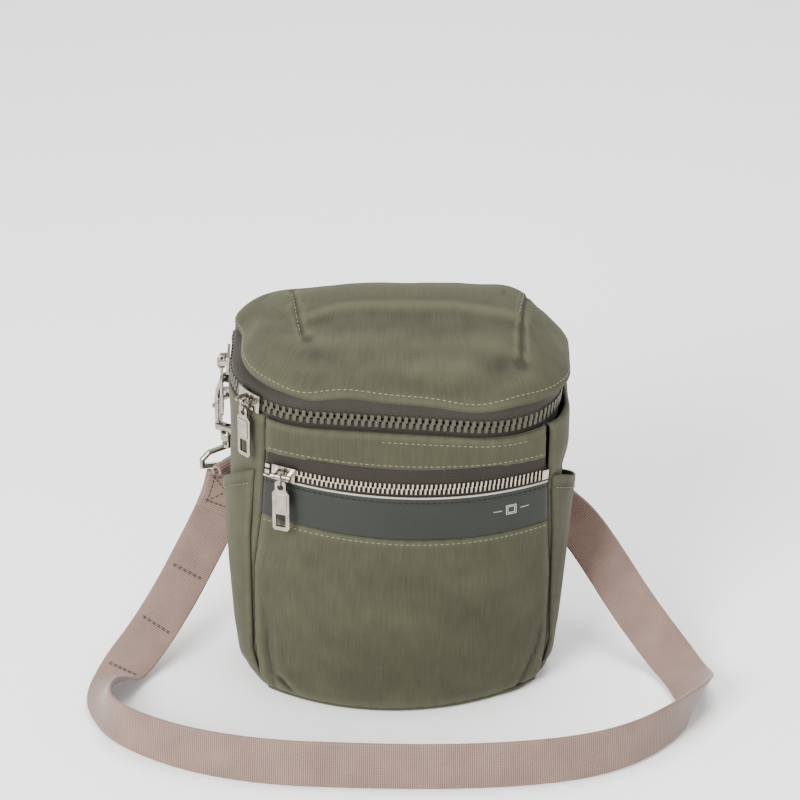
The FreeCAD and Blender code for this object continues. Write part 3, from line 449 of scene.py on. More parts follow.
def sewn_panel(name, grid, thick, finish, relief=None, wrap=False, cap=False, facing=1.0):
    """A piece of cloth: its outer face follows the grid and a relief, its inner face lies behind."""
    rows, cols = len(grid), len(grid[0])
    mid = rows // 3
    along = [0.0]
    for c in range(1, cols):
        along.append(along[-1] + (grid[mid][c] - grid[mid][c - 1]).length)
    down = [[0.0] * cols]
    for r in range(1, rows):
        down.append([down[-1][c] + (grid[r][c] - grid[r - 1][c]).length for c in range(cols)])
    flat = normals_of(grid, wrap, facing)
    lift = [[0.0] * cols for r in range(rows)]
    outer = grid
    if relief:
        for r in range(rows):
            for c in range(cols):
                lift[r][c] = relief(grid[r][c], along[c], down[r][c], along[-1], down[-1][c])
        outer = [[grid[r][c] + flat[r][c] * lift[r][c] for c in range(cols)] for r in range(rows)]
    face_out = normals_of(outer, wrap, facing)
    verts = [p for row in outer for p in row]
    verts += [outer[r][c] - face_out[r][c] * thick for r in range(rows) for c in range(cols)]
    shift = rows * cols
    faces = []
    last = cols if wrap else cols - 1
    for r in range(rows - 1):
        for c in range(last):
            n = (c + 1) % cols
            a, b, d, e = r * cols + c, r * cols + n, (r + 1) * cols + n, (r + 1) * cols + c
            faces.append((a, b, d, e))
            faces.append((a + shift, e + shift, d + shift, b + shift))
    for c in range(last):
        n = (c + 1) % cols
        faces.append((c, c + shift, n + shift, n))
        if not cap:
            a, b = (rows - 1) * cols + c, (rows - 1) * cols + n
            faces.append((a, b, b + shift, a + shift))
    if not wrap:
        for r in range(rows - 1):
            a, b = r * cols, (r + 1) * cols
            faces.append((a, b, b + shift, a + shift))
            a, b = a + cols - 1, b + cols - 1
            faces.append((a, a + shift, b + shift, b))
    if cap == "disc":
        ring = [(rows - 1) * cols + c for c in range(cols)]
        faces.append(tuple(ring))
        faces.append(tuple(v + shift for v in reversed(ring)))
    uvs = [(along[c] * MM, down[r][c] * MM) for r in range(rows) for c in range(cols)] * 2
    # paler where the cloth stands proud, as wear, and darker in its hollows and creases, as painted shade
    rub = []
    for r in range(rows):
        for c in range(cols):
            near = lift[max(r - 3, 0)][c] + lift[min(r + 3, rows - 1)][c]
            near += lift[r][max(c - 3, 0)] + lift[r][min(c + 3, cols - 1)]
            rub.append(clamp(0.5 + 1.1 * (lift[r][c] - near / 4.0), 0.0, 1.0))
    return link_mesh(name, verts, faces, uvs, rub + [0.5] * shift, finish)


def webbing_ribbon(name, centres, widths, width, thick, finish):
    """A flat woven band with round edges along a line of points, in millimetres."""
    bend = [(-0.5, 0.22), (-0.485, 0.45), (-0.46, 0.5), (-0.3, 0.5), (-0.1, 0.5)]
    top = bend + [(-x, y) for x, y in reversed(bend)]
    low = [(-x, -y) for x, y in top]
    profile = low[-1:] + top + low[:-1]
    count = len(centres)
    n = len(profile)
    verts, uvs, faces = [], [], []
    run = 0.0
    for i in range(count):
        tangent = (centres[min(i + 1, count - 1)] - centres[max(i - 1, 0)]).normalized()
        across = (widths[i] - tangent * widths[i].dot(tangent)).normalized()
        up = across.cross(tangent)
        if i:
            run += (centres[i] - centres[i - 1]).length
        for a, b in profile:
            verts.append(centres[i] + across * a * width + up * b * thick)
            uvs.append((a * width * MM, run * MM))
    for i in range(count - 1):
        for k in range(n):
            m = (k + 1) % n
            faces.append((i * n + k, i * n + m, (i + 1) * n + m, (i + 1) * n + k))
    faces.append(tuple(range(n)))
    faces.append(tuple(reversed(range((count - 1) * n, count * n))))
    return link_mesh(name, verts, faces, uvs, [0.5] * len(verts), finish)


def curve_of(name, lines):
    """A curve object of straight-run lines, for stitches and teeth to follow."""
    data = bpy.data.curves.new(name, "CURVE")
    data.dimensions = "3D"
    for points in lines:
        spline = data.splines.new("POLY")
        spline.points.add(len(points) - 1)
        for point, place in zip(spline.points, points):
            point.co = (*(place * MM), 1.0)
    obj = bpy.data.objects.new(name, data)
    bpy.context.scene.collection.objects.link(obj)
    return obj


def add(tree, kind, settings=None, links=None):
    """Adds one node: its own settings and input values, then the sockets linked into it."""
    node = tree.nodes.new(kind)
    for key, value in (settings or {}).items():
        if isinstance(key, str) and hasattr(node, key):
            setattr(node, key, value)
        else:
            node.inputs[key].default_value = value
    for key, source in (links or {}).items():
        tree.links.new(source, node.inputs[key])
    return node


def scaled(tree, value, factor, more=None):
    """A socket's value times a factor, plus another socket's value."""
    kind, links = "MULTIPLY", {0: value}
    if more is not None:
        kind, links = "MULTIPLY_ADD", {0: value, 2: more}
    return add(tree, "ShaderNodeMath", {"operation": kind, 1: factor}, links).outputs[0]


def product(tree, first, second):
    """Two sockets' values multiplied."""
    return add(tree, "ShaderNodeMath", {"operation": "MULTIPLY"}, {0: first, 1: second}).outputs[0]


def combined(tree, **parts):
    """A vector socket from the sockets of its parts."""
    return add(tree, "ShaderNodeCombineXYZ", {}, parts).outputs[0]


def repeat_tree(name, sizes, unit, material):
    """Geometry nodes that set one small unit at even steps along every curve."""
    tree = bpy.data.node_groups.new(name, "GeometryNodeTree")
    tree.is_modifier = True
    for way in ("INPUT", "OUTPUT"):
        tree.interface.new_socket("Geometry", in_out=way, socket_type="NodeSocketGeometry")
    for label, value in sizes.items():
        socket = tree.interface.new_socket(label, in_out="INPUT", socket_type="NodeSocketFloat")
        socket.default_value = value
    source = add(tree, "NodeGroupInput")
    given = source.outputs
    # sockets 4 and 5 of the trim are the start and end lengths; the end lies past every curve
    start = add(tree, "GeometryNodeTrimCurve", {"mode": "LENGTH"}, {"Curve": given["Geometry"]})
    tree.links.new(given["Start"], start.inputs[4])
    start.inputs[5].default_value = 100.0
    spaced = add(tree, "GeometryNodeResampleCurve", {"mode": "LENGTH"},
                 {"Curve": start.outputs[0], "Length": given["Pitch"]})
    tangent = add(tree, "GeometryNodeInputTangent")
    upright = add(tree, "FunctionNodeAlignRotationToVector", {"axis": "Z", "Vector": tuple(ZIP_Z)})
    turned = add(tree, "FunctionNodeAlignRotationToVector", {"axis": "X"},
                 {"Rotation": upright.outputs[0], "Vector": tangent.outputs[0]})
    # sockets 2 and 3 are the least and the most of a random number
    loose = add(tree, "FunctionNodeRandomValue", {"data_type": "FLOAT", "Seed": 7})
    tree.links.new(given["Looseness"], loose.inputs[3])
    tree.links.new(scaled(tree, given["Looseness"], -1.0), loose.inputs[2])
    twist = combined(tree, Z=loose.outputs[1], Y=loose.outputs[1])
    final = add(tree, "FunctionNodeRotateRotation", {"rotation_space": "LOCAL"},
                {"Rotation": turned.outputs[0], "Rotate By": twist})
    placed = add(tree, "GeometryNodeInstanceOnPoints", {},
                 {"Points": spaced.outputs[0], "Instance": unit(tree, given), "Rotation": final.outputs[0]})
    real = add(tree, "GeometryNodeRealizeInstances", {}, {"Geometry": placed.outputs[0]})
    painted = add(tree, "GeometryNodeSetMaterial", {"Material": material}, {"Geometry": real.outputs[0]})
    add(tree, "NodeGroupOutput", {}, {0: painted.outputs[0]})
    return tree


def thread_unit(tree, given):
    """One stitch: a short plump run of thread."""
    bead = add(tree, "GeometryNodeMeshUVSphere", {"Segments": 6, "Rings": 5, "Radius": 0.5})
    size = combined(tree, X=given["Length"], Y=given["Thickness"], Z=given["Thickness"])
    run_of = add(tree, "GeometryNodeTransform", {}, {"Geometry": bead.outputs[0], "Scale": size})
    return add(tree, "GeometryNodeSetShadeSmooth", {}, {"Geometry": run_of.outputs[0]}).outputs[0]


def tooth_unit(tree, given):
    """One zip tooth: a foot clamped on the tape and a wider head that meets the other row."""
    wide, deep, tall = given["Width"], given["Depth"], given["Length"]
    foot = add(tree, "GeometryNodeMeshCube", {}, {"Size": combined(tree, X=wide, Y=deep, Z=tall)})
    size = combined(tree, X=scaled(tree, wide, 1.22), Y=scaled(tree, deep, 0.82), Z=scaled(tree, tall, 0.34))
    head = add(tree, "GeometryNodeMeshCube", {}, {"Size": size})
    rise = combined(tree, Z=product(tree, tall, given["Head Side"]))
    moved = add(tree, "GeometryNodeTransform", {}, {"Geometry": head.outputs[0], "Translation": rise})
    both = add(tree, "GeometryNodeJoinGeometry", {}, {"Geometry": foot.outputs[0]})
    tree.links.new(moved.outputs[0], both.inputs[0])
    return add(tree, "GeometryNodeSubdivideMesh", {"Level": 1}, {"Mesh": both.outputs[0]}).outputs[0]


def run_tree(obj, tree, values, name, round_off=0.0):
    """Runs a tree on a curve object, and returns its result as a plain mesh object."""
    modifier = obj.modifiers.new("repeat", "NODES")
    modifier.node_group = tree
    for item in tree.interface.items_tree:
        if item.item_type == "SOCKET" and item.in_out == "INPUT" and item.name in values:
            modifier[item.identifier] = values[item.name]
    bpy.context.view_layer.update()
    graph = bpy.context.evaluated_depsgraph_get()
    result = obj.evaluated_get(graph)
    mesh = bpy.data.meshes.new_from_object(result, preserve_all_data_layers=True, depsgraph=graph)
    obj.modifiers.clear()
    data = obj.data
    bpy.data.objects.remove(obj)
    bpy.data.curves.remove(data)
    mesh.name = name
    made = bpy.data.objects.new(name, mesh)
    bpy.context.scene.collection.objects.link(made)
    if round_off:
        bm = bmesh.new()
        bm.from_mesh(mesh)
        bmesh.ops.smooth_vert(bm, verts=bm.verts, factor=round_off,
                              use_axis_x=True, use_axis_y=True, use_axis_z=True)
        bm.to_mesh(mesh)
        bm.free()
    return made


# ------------------------------------------------------------------ finishes
def colour(code):
    """sRGB hex code to linear colour."""
    parts = [int(code[i:i + 2], 16) / 255.0 for i in (0, 2, 4)]
    return tuple(v / 12.92 if v <= 0.04045 else ((v + 0.055) / 1.055) ** 2.4 for v in parts) + (1.0,)


def shader(name, settings):
    """A material with one Principled shader, and its tree and shader."""
    material = bpy.data.materials.new(name)
    material.use_nodes = True
    tree = material.node_tree
    tree.nodes.clear()
    main = add(tree, "ShaderNodeBsdfPrincipled", settings)
    add(tree, "ShaderNodeOutputMaterial", {}, {"Surface": main.outputs[0]})
    return material, tree, main

WAVE = 0.31416    # a wave texture's scale times its spacing, in metres


def threads(tree, place, axis, pitch, **more):
    """Even ridges across one way of the cloth, a pitch apart."""
    settings = {"bands_direction": axis, "Scale": WAVE / pitch, "Detail": 1.0, **more}
    return add(tree, "ShaderNodeTexWave", settings, {"Vector": place.outputs["UV"]}).outputs["Fac"]


def mottle(tree, place, scale, detail, **more):
    """Soft noise fixed to the object."""
    settings = {"Scale": scale, "Detail": detail, **more}
    return add(tree, "ShaderNodeTexNoise", settings, {"Vector": place.outputs["Object"]}).outputs["Fac"]


def spread(tree, value, low, high, **more):
    """A value's range from low to high, stretched over 0 to 1."""
    settings = {"From Min": low, "From Max": high, **more}
    return add(tree, "ShaderNodeMapRange", settings, {"Value": value}).outputs[0]


def tint(tree, main, dark, light, share):
    """Base colour between two hex codes."""
    blend = add(tree, "ShaderNodeMix", {"data_type": "RGBA", 6: colour(dark), 7: colour(light)}, {0: share})
    tree.links.new(blend.outputs[2], main.inputs["Base Color"])


def emboss(tree, main, strength, depth, height):
    """Bump of a depth in metres."""
    relief = add(tree, "ShaderNodeBump", {"Strength": strength, "Distance": depth}, {"Height": height})
    tree.links.new(relief.outputs[0], main.inputs["Normal"])


def woven_finish(name, dark, light, pitch, depth, rough, sheen, slub=1.0):
    """Plain-woven cloth: threads both ways, long uneven slubs, paler worn ridges, and painted shade that
    darkens its hollows.
    """
    material, tree, main = shader(name, {
        "Roughness": rough, "Sheen Weight": sheen, "Sheen Roughness": 0.5,
        "Sheen Tint": colour("b8b39c"), "Specular IOR Level": 0.25})
    place = add(tree, "ShaderNodeTexCoord")
    bent = {"Distortion": 1.2, "Detail Scale": 2.0}
    weave = product(tree, threads(tree, place, "X", pitch, **bent), threads(tree, place, "Y", pitch, **bent))
    slub_size = {"Scale": (1.0 / 0.0009, 1.0 / 0.018, 1.0)}
    drawn = add(tree, "ShaderNodeMapping", slub_size, {"Vector": place.outputs["UV"]})
    slubs = add(tree, "ShaderNodeTexNoise", {"Scale": 1.0, "Detail": 2.0, "Roughness": 0.6},
                {"Vector": drawn.outputs[0]}).outputs["Fac"]
    clouds = mottle(tree, place, 28.0, 4.0, Roughness=0.62)
    # the per-point share: paler worn ridges, and painted shade in the hollows
    worn = add(tree, "ShaderNodeAttribute", {"attribute_name": "rub"}).outputs["Fac"]
    shade = scaled(tree, slubs, 0.62 * slub, scaled(tree, clouds, 0.42))
    shade = scaled(tree, weave, 0.22, scaled(tree, worn, 0.9, shade))
    tint(tree, main, dark, light, spread(tree, shade, 0.62, 1.42))
    emboss(tree, main, 0.55, depth, scaled(tree, slubs, 0.8, weave))
    return material


def leather_finish(name, base, edge):
    """Waxed full-grain leather: fine cells, a soft low gloss and slow shade changes."""
    material, tree, main = shader(name, {
        "Roughness": 0.5, "Specular IOR Level": 0.28, "Coat Weight": 0.03, "Coat Roughness": 0.3})
    place = add(tree, "ShaderNodeTexCoord")
    cells = add(tree, "ShaderNodeTexVoronoi", {"feature": "DISTANCE_TO_EDGE", "Scale": 1.0 / 0.0011},
                {"Vector": place.outputs["Object"]})
    tint(tree, main, base, edge, mottle(tree, place, 45.0, 5.0))
    grain = add(tree, "ShaderNodeMath", {"operation": "MINIMUM", 1: 0.22}, {0: cells.outputs["Distance"]})
    emboss(tree, main, 0.35, 0.00012, grain.outputs[0])
    return material


def ribbed_finish(name, dark, light, pitch, cross, depth, rough, sheen):
    """Ribbed weave of tape and webbing: ridges across the band, with a finer thread along it."""
    material, tree, main = shader(name, {
        "Roughness": rough, "Sheen Weight": sheen, "Sheen Roughness": 0.4, "Specular IOR Level": 0.3})
    place = add(tree, "ShaderNodeTexCoord")
    ribs = threads(tree, place, "Y", pitch, Distortion=0.5)
    ends = threads(tree, place, "X", cross, Distortion=0.5)
    weave = scaled(tree, ends, 0.45, ribs)
    shade = scaled(tree, weave, 0.46, scaled(tree, mottle(tree, place, 60.0, 4.0), 0.35))
    tint(tree, main, dark, light, spread(tree, shade, 0.2, 0.85))
    emboss(tree, main, 0.6, depth, weave)
    return material


def plated_finish(name, bright, worn, rough):
    """Nickel plate on cast zinc: bright, with hazy patches and hairline rubs."""
    material, tree, main = shader(name, {"Metallic": 1.0})
    place = add(tree, "ShaderNodeTexCoord")
    haze = mottle(tree, place, 240.0, 4.0)
    tint(tree, main, bright, worn, haze)
    gloss = spread(tree, haze, 0.3, 0.7, **{"To Min": rough, "To Max": rough + 0.14})
    tree.links.new(gloss, main.inputs["Roughness"])
    emboss(tree, main, 0.15, 0.00005, mottle(tree, place, 1800.0, 1.0))
    return material


def plain_finish(name, base, light, rough, grain, depth):
    """Moulded or spun stuff with a faint mottle and a fine uneven surface."""
    material, tree, main = shader(name, {"Roughness": rough, "Specular IOR Level": 0.4})
    place = add(tree, "ShaderNodeTexCoord")
    speckle = mottle(tree, place, 1.0 / grain, 3.0)
    tint(tree, main, base, light, speckle)
    emboss(tree, main, 0.4, depth, speckle)
    return material


def finish(name):
    """The finish of that name, made the first time it is asked for."""
    found = bpy.data.materials.get(name)
    if found:
        return found
    make, *values = FINISHES[name]
    chosen = bpy.context.scene.purse_finishes
    return make(name, *(getattr(chosen, v, v) if isinstance(v, str) else v for v in values))


# Each entry starts from what the real stuff is; what follows the colon is what that gives the eye.
# A colour is an sRGB hex code, or the name of a property in PurseFinishes.
FINISHES = {
    # washed nylon-cotton canvas, 0.5 mm threads drawn at 1 mm so that they show: matt, streaky olive
    "washed_canvas": (woven_finish, "canvas_dark", "canvas_light", 0.0010, 0.00022, 0.82, 0.18),
    # plain polyester lining, tight 0.8 mm weave: smoother and duller than the canvas
    "lining_taffeta": (woven_finish, "1c1c18", "2f2e28", 0.0008, 0.00008, 0.6, 0.1, 0.4),
    # waxed cowhide, 1 mm grain: even dark green-grey with a soft gloss
    "waxed_leather": (leather_finish, "leather", "1f231d"),
    # the cut side of the hide, undyed: a pale fibrous line
    "cut_leather_edge": (plain_finish, "8b887a", "b4b1a3", 0.8, 0.0006, 0.0001),
    # knitted polyester zip tape, 0.9 mm herringbone ribs: dull brown-grey
    "zip_tape": (ribbed_finish, "191713", "302c25", 0.0009, 0.0009, 0.0001, 0.8, 0.1),
    # the same tape in dark brown, darker still as painted shade under the upper panel's edge
    "dark_zip_tape": (ribbed_finish, "120f0c", "2a231c", 0.0009, 0.0009, 0.0001, 0.8, 0.1),
    # injection-moulded acetal teeth: olive, faintly waxy
    "moulded_acetal": (plain_finish, "2a291e", "434131", 0.38, 0.0008, 0.00004),
    # stamped and nickel plated teeth: bright, warm silver
    "stamped_nickel": (plated_finish, "cbc3b0", "857d6d", 0.2),
    # nickel plated zinc castings: darker mirror with hazy patches
    "nickel_plate": (plated_finish, "bdb7aa", "5f5a50", 0.13),
    # polyester seat-belt weave, 1.1 mm ribs across: satin mauve-brown
    "strap_webbing": (ribbed_finish, "strap_dark", "strap_light", 0.0011, 0.0011, 0.00022, 0.5, 0.25),
    # cotton webbing tab, 1 mm ribs: matt dark olive
    "cotton_webbing": (ribbed_finish, "28271e", "403d34", 0.0010, 0.0012, 0.0002, 0.8, 0.1),
    # bonded nylon thread, about half a millimetre thick: light olive
    "light_thread": (plain_finish, "625f4f", "7e7b68", 0.6, 0.0004, 0.00003),
    # the same thread dyed darker: near black
    "dark_thread": (plain_finish, "101110", "1c1d19", 0.6, 0.0004, 0.00003),
    # thicker thread on the strap: dark taupe
    "strap_thread": (plain_finish, "2f2823", "463c35", 0.6, 0.0004, 0.00003),
    # pressed fibre board: flat, speckled
    "fibre_board": (plain_finish, "2a2926", "3a3833", 0.9, 0.0012, 0.0001),
    # foil print: a thin pale film
    "pale_print": (plain_finish, "a9aca0", "c3c5ba", 0.5, 0.0006, 0.00002),
    # painted studio floor: flat near-white with the faintest unevenness
    "studio_floor": (plain_finish, "fafaf9", "fdfdfc", 0.9, 0.2, 0.0001),
}


# ------------------------------------------------------------------ what a user may change
class PurseCloth(bpy.types.PropertyGroup):
    grid: bpy.props.FloatProperty(
        name="Cloth grid", description="Distance between mesh lines on the cloth, in millimetres",
        default=1.5, min=0.8, max=6.0)
    creases: bpy.props.FloatProperty(
        name="Creases", description="How strongly the cloth is creased",
        default=1.0, min=0.0, max=2.0, subtype="FACTOR")
    canvas: bpy.props.FloatProperty(
        name="Canvas", description="Thickness of the canvas, in millimetres", default=1.4, min=0.5, max=3.0)


class PurseZips(bpy.types.PropertyGroup):
    main_pitch: bpy.props.FloatProperty(
        name="Main zip pitch", description="Distance between teeth of one row of the main zip",
        default=0.0035, min=0.002, max=0.006, unit="LENGTH", precision=5)
    pocket_pitch: bpy.props.FloatProperty(
        name="Pocket zip pitch", description="Distance between teeth of one row of the pocket zip",
        default=0.0024, min=0.001, max=0.004, unit="LENGTH", precision=5)
    stitch_pitch: bpy.props.FloatProperty(
        name="Stitch pitch", description="Distance from stitch to stitch",
        default=0.0030, min=0.001, max=0.006, unit="LENGTH", precision=5)


class PurseStrap(bpy.types.PropertyGroup):
    width: bpy.props.FloatProperty(
        name="Strap width", description="Width of the webbing",
        default=0.025, min=0.01, max=0.05, unit="LENGTH", precision=4)
    thickness: bpy.props.FloatProperty(
        name="Strap thickness", description="Thickness of the webbing",
        default=0.0018, min=0.001, max=0.004, unit="LENGTH", precision=4)


class PurseFinishes(bpy.types.PropertyGroup):
    # the canvas leans to canvas_dark in its hollows, as painted shade, and to canvas_light on its worn ridges
    canvas_dark: bpy.props.StringProperty(
        name="Canvas, dark", description="Hollows of the canvas, sRGB hex", default="25261b")
    canvas_light: bpy.props.StringProperty(
        name="Canvas, light", description="Rubbed canvas, sRGB hex", default="434331")
    leather: bpy.props.StringProperty(
        name="Leather", description="Leather band, sRGB hex", default="161914")
    strap_dark: bpy.props.StringProperty(
        name="Strap, dark", description="Webbing between its ribs, sRGB hex", default="513f37")
    strap_light: bpy.props.StringProperty(
        name="Strap, light", description="Ribs of the webbing, sRGB hex", default="8d7468")


def settled(obj, body, slot, *nodes):
    """Gives a finished piece its body and hides the hard parts that it stands for; the slot it is given is
    not used.
    """
    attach(obj, body)
    if nodes:
        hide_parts(*nodes)
    return obj


# ------------------------------------------------------------------ reliefs of the panels
def canvas_relief(seed, edges=(1, 1, 1, 1), slow=0.7, fast=0.25, more=None):
    """Relief of a sewn canvas panel: turned edges, gathers, slow waves, and anything of its own."""
    crease = bpy.context.scene.purse_cloth.creases

    def relief(p, s, t, s_all, t_all):
        left, right, top, low = s, s_all - s, t, t_all - t
        inside = min(left, right, top, low)
        calm = clamp(inside / 12.0, 0.0, 1.0)
        h = crease * calm * (slow * ripple(p, 34.0, seed) + fast * ripple(p, 11.0, seed + 3.1))
        for near, along, used in zip((left, right, top, low), (t, t, s, s), edges):
            if used:
                h += turned_edge(near) + crease * pucker(along, near, 9.0, 0.16, seed + used)
        if more:
            h += crease * more(p, s, t, s_all, t_all)
        return h
    return relief


# drop, how far forward the middle lies, and the share of the panel that lies on the shell
POCKET_LEVELS = [(63.6, -59.4, 0.0), (85.0, -60.8, 0.0), (115.0, -61.6, 0.0),
                 (145.0, -61.6, 0.0), (164.0, -60.0, 0.0), (172.2, -56.6, 0.0)]
UPPER_LEVELS = [(6.0, -53.6, 1.0), (16.0, -55.0, 0.5), (PANEL_EDGE, -57.4, 0.0)]
BAND_LEVELS = [(BAND_TOP, -58.6, 0.0), (52.0, -59.2, 0.0), (63.5, -59.6, 0.0)]
WALL_LEVELS = [(7.0, -51.6, 1.0), (22.0, -47.4, 0.0), (45.0, -46.2, 0.0), (100.0, -45.8, 0.0),
               (145.0, -45.8, 0.0), (166.5, -45.0, 0.0), (170.1, -44.0, 0.0)]


def pocket_own(p, s, t, s_all, t_all):
    """The pocket's corner darts, the tuck at the left one, and its slow diagonal hollows."""
    h = 0.0
    d, k = off_line(p.x, p.z, [(-70.0, 60.0), (-69.0, 30.0), (-65.5, 4.0)])
    h -= 0.8 * hump(d, 0.0, 1.0) * clamp(3.0 * k, 0.0, 1.0)
    d, k = off_line(p.x, p.z, [(80.0, 46.0), (76.0, 26.0), (66.0, 3.0)])
    h -= 0.8 * hump(d, 0.0, 1.1) * clamp(3.0 * k, 0.0, 1.0)
    d, k = off_line(p.x, p.z, [(-62.0, 12.0), (-57.5, 7.0)])
    h -= 1.6 * hump(d, 0.0, 1.6)
    d, k = off_line(p.x, p.z, [(-40.0, 92.0), (10.0, 80.0), (66.0, 44.0)])
    h -= 1.1 * hump(d, 0.0, 13.0)
    d, k = off_line(p.x, p.z, [(-52.0, 60.0), (10.0, 62.0), (56.0, 84.0)])
    h += 0.8 * hump(d, 0.0, 12.0)
    h += 0.7 * hump(p.z, 12.0, 9.0) * ripple(p, 26.0, 5.5)
    return h * clamp(min(t / 6.0, 1.0), 0.0, 1.0)


def lid_own(p, s, t, s_all, t_all):
    """The lid's two darts, the soft ridge between them, and the hollows in front of their ends."""
    h = 0.0
    for line in (((-56.0, 40.0), (-52.0, 8.0), (-48.5, -13.0)), ((70.0, 31.0), (66.0, 4.0), (65.0, -26.0))):
        d, k = off_line(p.x, p.y, line)
        fade = clamp((1.02 - k) * 9.0, 0.0, 1.0)
        h -= 1.3 * hump(d, 0.0, 0.8) * fade
        h += 0.12 * math.exp(-d / 4.5) * math.sin(k * 34.0) * fade
    h -= 1.1 * hump(math.hypot(p.x + 46.0, p.y + 15.5), 0.0, 3.4)
    h -= 1.3 * hump(math.hypot(p.x - 65.0, p.y + 28.0), 0.0, 3.8)
    d, k = off_line(p.x, p.y, [(-49.0, 4.0), (-30.0, 9.0), (30.0, 9.0), (66.0, 2.0)])
    h += 1.0 * hump(d, 0.0, 4.0)
    h -= 0.9 * hump(p.y, -6.0, 9.0) * hump(p.x, 6.0, 55.0)
    h -= 2.0 * math.exp(-(((p.x - 54.0) / 13.0) ** 2 + ((p.y + 33.0) / 10.0) ** 2))
    h -= 1.1 * math.exp(-(((p.x + 40.0) / 13.0) ** 2 + ((p.y + 28.0) / 10.0) ** 2))
    h += 1.2 * math.exp(-(((p.x - 20.0) / 26.0) ** 2 + ((p.y + 36.0) / 9.0) ** 2))
    return h


def lid_draw(x, y, height):
    """How far the lid leans to the right: drawn in on its left side, and swelling on its right."""
    left = ease(-x / 75.0) * ease((ZIP_END_Y - y) / 24.0)
    reach = 6.5 * ease((height - SLIDER_HALF) / (LID_EDGE - SLIDER_HALF))
    reach += 2.5 * ease((height - LID_EDGE) / 9.0)
    lean = left * reach * (1.0 - ease((height - 27.0) / 9.0))
    return lean + 3.6 * ease(x / 75.0) * hump(height, 13.5, 6.0) * ease((y + 45.0) / 30.0)


def edge_wave(x, y):
    """How the lid's front seam rises and dips along the zip."""
    near = clamp((-20.0 - y) / 18.0, 0.0, 1.0)
    wave = 1.5 * hump(x, -24.0, 15.0) - 2.2 * hump(x, 38.0, 15.0)
    wave += 0.9 * hump(x, 64.0, 10.0) - 1.4 * hump(x, -48.0, 11.0)
    return near * wave


